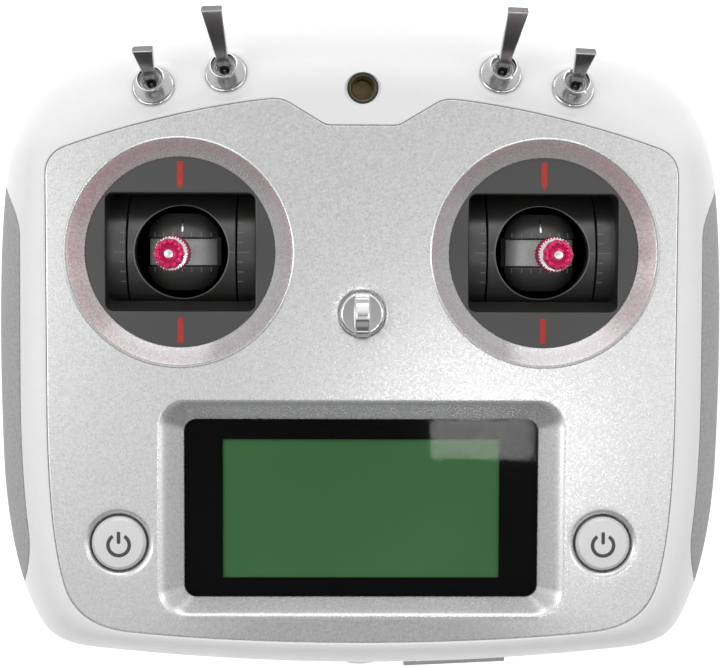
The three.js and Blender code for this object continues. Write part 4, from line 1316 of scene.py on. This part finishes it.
# Black print on the lens, and also painted shade inside the gimbal wells.
BLACK_PRINT_AND_SHADE = plain("black_print", (0.001, 0.001, 0.001), 0.6, scale=400, bump=0.0, specular_ior_level=0.02)
CHROME = plain("chrome", (0.9, 0.9, 0.905), 0.08, 1.0, scale=300, bump=0.02, vary=0.02)
NICKEL = plain("nickel", (0.6, 0.6, 0.605), 0.12, 1.0, scale=300, bump=0.02, vary=0.02)
LEVER = plain("lever_chrome", (0.5, 0.49, 0.49), 0.16, 1.0, scale=500, bump=0.04, vary=0.05)
MAGENTA = plain("magenta_anodised", (0.6, 0.02, 0.12), 0.25, 0.75, scale=1500, bump=0.05, vary=0.06)
BRIGHT = plain("bright_steel", (0.88, 0.88, 0.88), 0.22, 0.9, scale=900, bump=0.05)
STEEL = plain("steel", (0.5, 0.51, 0.52), 0.3, 1.0)
BRASS = plain("brass", (0.3, 0.23, 0.12), 0.4, 0.9, scale=900, bump=0.1, vary=0.12)
BOARD = plain("circuit_board", (0.02, 0.11, 0.04), 0.5, scale=250, vary=0.25)
RED = plain("red_mark", (0.42, 0.02, 0.012), 0.5, scale=1200, vary=0.12)
TICK = plain("tick_mark", (0.16, 0.16, 0.155), 0.5)
TICK_BLACK = plain("tick_black", (0.008, 0.008, 0.008), 0.5)
SYMBOL = plain("symbol_grey", (0.055, 0.055, 0.058), 0.5)
GLASS = lens_glass()
GREEN = lcd_green()
CELL = plain("cell_sleeve", (0.03, 0.08, 0.2), 0.35, scale=300)


# ---- Pieces ----


def piece(name, shape, finish, body="housing", node=None, slot=None, degrees=32):
    """A Blender object from a shape, shaded smooth across edges flatter than degrees."""
    mesh = mesh_of(shape, MM, (0, CENTRE_Y, 0))
    mesh.name = name
    made = bpy.data.objects.new(name, mesh)
    bpy.context.scene.collection.objects.link(made)
    mesh.materials.append(finish)
    mesh.shade_smooth()
    mesh.set_sharp_from_angle(angle=math.radians(degrees))
    weighted = made.modifiers.new("weighted", "WEIGHTED_NORMAL")
    weighted.keep_sharp = True
    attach(made, body)
    if node:
        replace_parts(made, node)


def housing():
    """The fixed pieces of the face, and the two buttons."""
    piece("shell_front", front_shell(), WHITE, node="front_shell", slot="white_shell")
    piece("plate", faceplate(), SILVER, node="faceplate", slot="silver_paint", degrees=10)
    piece("lens", lens(), GLASS, node="screen_lens", slot="screen_glass")
    piece("lens_print", lens_border(), BLACK_PRINT_AND_SHADE)
    piece("display", lcd(), GREEN, node="lcd_module", slot="lcd_green")
    piece("loop", eyelet(), CHROME, node="strap_eyelet", slot="chrome")
    piece("insert_rim", insert(), BLACK)
    piece("insert_bore", insert_thread(), BRASS, node="phone_mount_insert", slot="brass")
    for name, side in SIDES.items():
        piece(f"rubber_{name}", grip(side), RUBBER, node=f"grip_{name}", slot="grey_rubber")
        button = power_button().moved(side * POWER_X, POWER_Y, 0)
        piece(f"button_{name}", button, BUTTON, f"power_{name}", f"power_button_{name}", "button_silver")
        symbol = standby_symbol().moved(side * POWER_X, POWER_Y, 0)
        piece(f"symbol_{name}", symbol, SYMBOL, f"power_{name}")


def gimbal(name, side):
    """One gimbal's pieces: those fixed to the housing, on the drum and on the stick."""
    centre = (side * GIMBAL_X, GIMBAL_Y, GIMBAL_Z)

    def put(label, shape, *rest, **more):
        piece(f"{label}_{name}", shape.moved(*centre), *rest, **more)

    put("bezel", together(bezel(), cheeks()), DARK, node=f"gimbal_bezel_{name}", slot="gimbal_grey")
    put("index", index_bars(), RED)
    put("scale", cheek_ticks(), TICK)
    drum_body = f"drum_{name}"
    put("drum", drum(), DARK, drum_body, f"gimbal_drum_{name}", "gimbal_grey", degrees=40)
    put("ball", inner_dome(), DARKER, drum_body)
    # Painted shade: a black sheet inside the well, where the gap round the ball is dark.
    put("well_liner", well_liner(), BLACK_PRINT_AND_SHADE, drum_body)
    put("well_rim", saddle_ring(WELL_R + 0.06, DRUM_R - 0.03, 0.16, 0.05), TICK, drum_body)
    put("drum_marks", drum_ticks(), TICK, drum_body)
    put("ball_marks", dome_ticks(), TICK, drum_body)
    put("ball_line", dome_index(SLOT / 2 + 1.4, 6.9, 0.16), BRIGHT, drum_body)
    put("ball_line_end", dome_index(7.0, 8.0, 0.22), TICK_BLACK, drum_body)
    stick = f"stick_{name}"
    # The slider's light grey holds painted sheen as well as its own colour.
    put("slider", slider(), SLIDER_GREY_AND_SHEEN, stick, f"stick_slider_{name}", "gimbal_grey")
    put("shaft", shaft(), BRIGHT, stick, f"stick_shaft_{name}", "steel")
    put("locknut", locknut(), MAGENTA, stick, f"stick_locknut_{name}", "magenta_anodised")
    put("knob", knob(), MAGENTA, stick, f"stick_knob_{name}", "magenta_anodised", degrees=40)
    put("knob_rim", knob_rim(), BRIGHT, stick)


def switch(name):
    matrix = switch_matrix(name)
    paddle = lever(SWITCHES[name][-1]).put(matrix)
    piece(f"nut_{name}", dress_nut().put(matrix), NICKEL, node=f"switch_nut_{name}", slot="chrome")
    piece(f"bush_{name}", switch_bush().put(matrix), STEEL)
    piece(f"paddle_{name}", paddle, LEVER, f"lever_{name}", f"switch_lever_{name}", "chrome")


def port_lip():
    """The ledge along the top of the port cover for a fingernail."""
    return block(-PORT_W / 2, PORT_W / 2, -1.75, -1.0, 6.6, 8.2, 0.15, 0.3).put(PORT)


def rear():
    piece("port_lip", port_lip(), RUBBER, "flap")
    piece("shell_rear", rear_shell(), WHITE, node="rear_shell", slot="white_shell")


KEPT_EDGE = 0.25
# The finish of the CAD nodes that stay, by how their names start.
KEPT = {
    "main_board": BOARD,
    "port_board": BOARD,
    "speaker": BLACK,
    "contact_strip": STEEL,
    "antenna": BOARD,
    "gimbal_cage": BLACK,
    "gimbal_sensor": BLACK,
    "switch_body": STEEL,
    "screw": STEEL,
    "battery_cell": CELL,
    "battery_cover": WHITE,
    "port_cover": RUBBER,
    "rear_key": BUTTON,
    "dial": DARK,
}


def dress_kept_nodes():
    """Give each CAD node that stays a material and softened edges."""
    for thing in bpy.data.objects:
        if thing.type != "MESH" or thing.hide_render or "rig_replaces" in thing:
            continue
        for start, finish in KEPT.items():
            if thing.name.startswith(start):
                thing.data.materials.clear()
                thing.data.materials.append(finish)
                bevel = thing.modifiers.new("bevel", "BEVEL")
                bevel.width = KEPT_EDGE * MM
                bevel.segments = 2
                bevel.limit_method = "ANGLE"
                bevel.angle_limit = math.radians(40)


# ---- Camera, light and floor ----


CAMERA_LENS = 82.43
CAMERA_PLACE = (-5.94, 28.90, 446.35)
CAMERA_TURN = (3.547, 0.795, -0.176)  # a rotation vector, in degrees


def camera():
    """A long lens above the face, a little towards the top edge and tilted to look at the middle."""
    view = bpy.data.objects.new("camera", bpy.data.cameras.new("camera"))
    view.data.sensor_width = 36
    view.data.lens = CAMERA_LENS
    turn = Vector([math.radians(angle) for angle in CAMERA_TURN])
    rotation = Matrix.Rotation(turn.length, 4, turn.normalized()).transposed()
    view.matrix_world = Matrix.Translation(Vector(CAMERA_PLACE) * MM) @ rotation
    bpy.context.scene.collection.objects.link(view)
    bpy.context.scene.camera = view


AIM = (0, 0, 0.04)
GLARE_X = 0.114  # the glare shines straight down on the lower right of the plate
GLARE_Y = -0.139
# Each lamp's place and what it points at, its size, and its power, in metres and watts.
LAMPS = {
    "key": ((0.0, 0.95, 0.7), AIM, (1.1, 0.3), 2.5),
    "back": ((0.0, 1.15, 0.38), AIM, (1.3, 0.35), 0.3),
    "side_left": ((-0.7, 0.0, 1.0), AIM, (0.25, 0.8), 2.3),
    "side_right": ((0.72, 0.0, 1.0), AIM, (0.25, 0.8), 1.0),
    "glare": ((GLARE_X, GLARE_Y, 1.0), (GLARE_X, GLARE_Y, 0), (0.085, 0.035), 0.26),
}


def area_light(name, place, aim, size, power):
    """A rectangular lamp at a place, turned towards its aim."""
    data = bpy.data.lights.new(name, "AREA")
    data.shape = "RECTANGLE"
    data.size, data.size_y = size
    data.energy = power
    lamp = bpy.data.objects.new(name, data)
    way = Vector(aim) - Vector(place)
    lamp.matrix_world = Matrix.Translation(place) @ way.to_track_quat("-Z", "Y").to_matrix().to_4x4()
    bpy.context.scene.collection.objects.link(lamp)


# The sky's strength by height, and its share of that from the holder's side to the far side.
SKY_BY_HEIGHT = [(0, 0.75), (0.12, 0.4), (0.32, 0.36), (0.42, 0.5)]
SKY_BY_HEIGHT += [(0.56, 0.88), (0.85, 0.88), (0.95, 0.72), (1, 0.27)]
SKY_BY_SIDE = [(0, 0.35), (0.2, 0.35), (0.26, 0.15), (0.3, 0.15), (0.35, 1), (1, 1)]


def curve_node(tree, points):
    """A node that reads a value off a curve."""
    node = add(tree, "FloatCurve")
    curve = node.mapping.curves[0]
    curve.points[0].location = points[0]
    curve.points[1].location = points[-1]
    for place, value in points[1:-1]:
        curve.points.new(place, value)
    node.mapping.update()
    return node


def sky(tree):
    """Pale light all round, dimmer overhead and in a strip towards the holder."""
    parts = add(tree, "SeparateXYZ")
    tree.links.new(add(tree, "TexCoord").outputs["Generated"], parts.inputs["Vector"])
    height = curve_node(tree, SKY_BY_HEIGHT)
    tree.links.new(parts.outputs["Z"], height.inputs["Value"])
    across = add(tree, "Math")
    across.operation = "MULTIPLY_ADD"
    across.inputs[1].default_value = 0.5
    across.inputs[2].default_value = 0.5
    tree.links.new(parts.outputs["Y"], across.inputs[0])
    side = curve_node(tree, SKY_BY_SIDE)
    tree.links.new(across.outputs["Value"], side.inputs["Value"])
    strength = multiplied(tree, height.outputs["Value"], side.outputs["Value"])
    tree.nodes["Background"].inputs["Color"].default_value = (1, 1, 1, 1)
    tree.links.new(strength, tree.nodes["Background"].inputs["Strength"])


def studio():
    """A pale floor, the sky and the lamps."""
    mesh = bpy.data.meshes.new("floor")
    work = bmesh.new()
    bmesh.ops.create_grid(work, x_segments=1, y_segments=1, size=3)
    work.to_mesh(mesh)
    work.free()
    floor = bpy.data.objects.new("floor", mesh)
    pale = plain("floor", (0.97, 0.97, 0.97), 0.6, scale=20, bump=0.0, vary=0.005, emission_strength=0.5)
    pale.node_tree.nodes["Principled BSDF"].inputs["Emission Color"].default_value = (1, 1, 1, 1)
    mesh.materials.append(pale)
    bpy.context.scene.collection.objects.link(floor)
    world = bpy.data.worlds.new("studio")
    bpy.context.scene.world = world
    world.use_nodes = True
    sky(world.node_tree)
    for name, lamp in LAMPS.items():
        area_light(name, *lamp)
    bpy.context.scene.view_settings.view_transform = "Standard"


housing()
rear()
for side_name, side_sign in SIDES.items():
    gimbal(side_name, side_sign)
for switch_name in SWITCHES:
    switch(switch_name)
dress_kept_nodes()
studio()
camera()
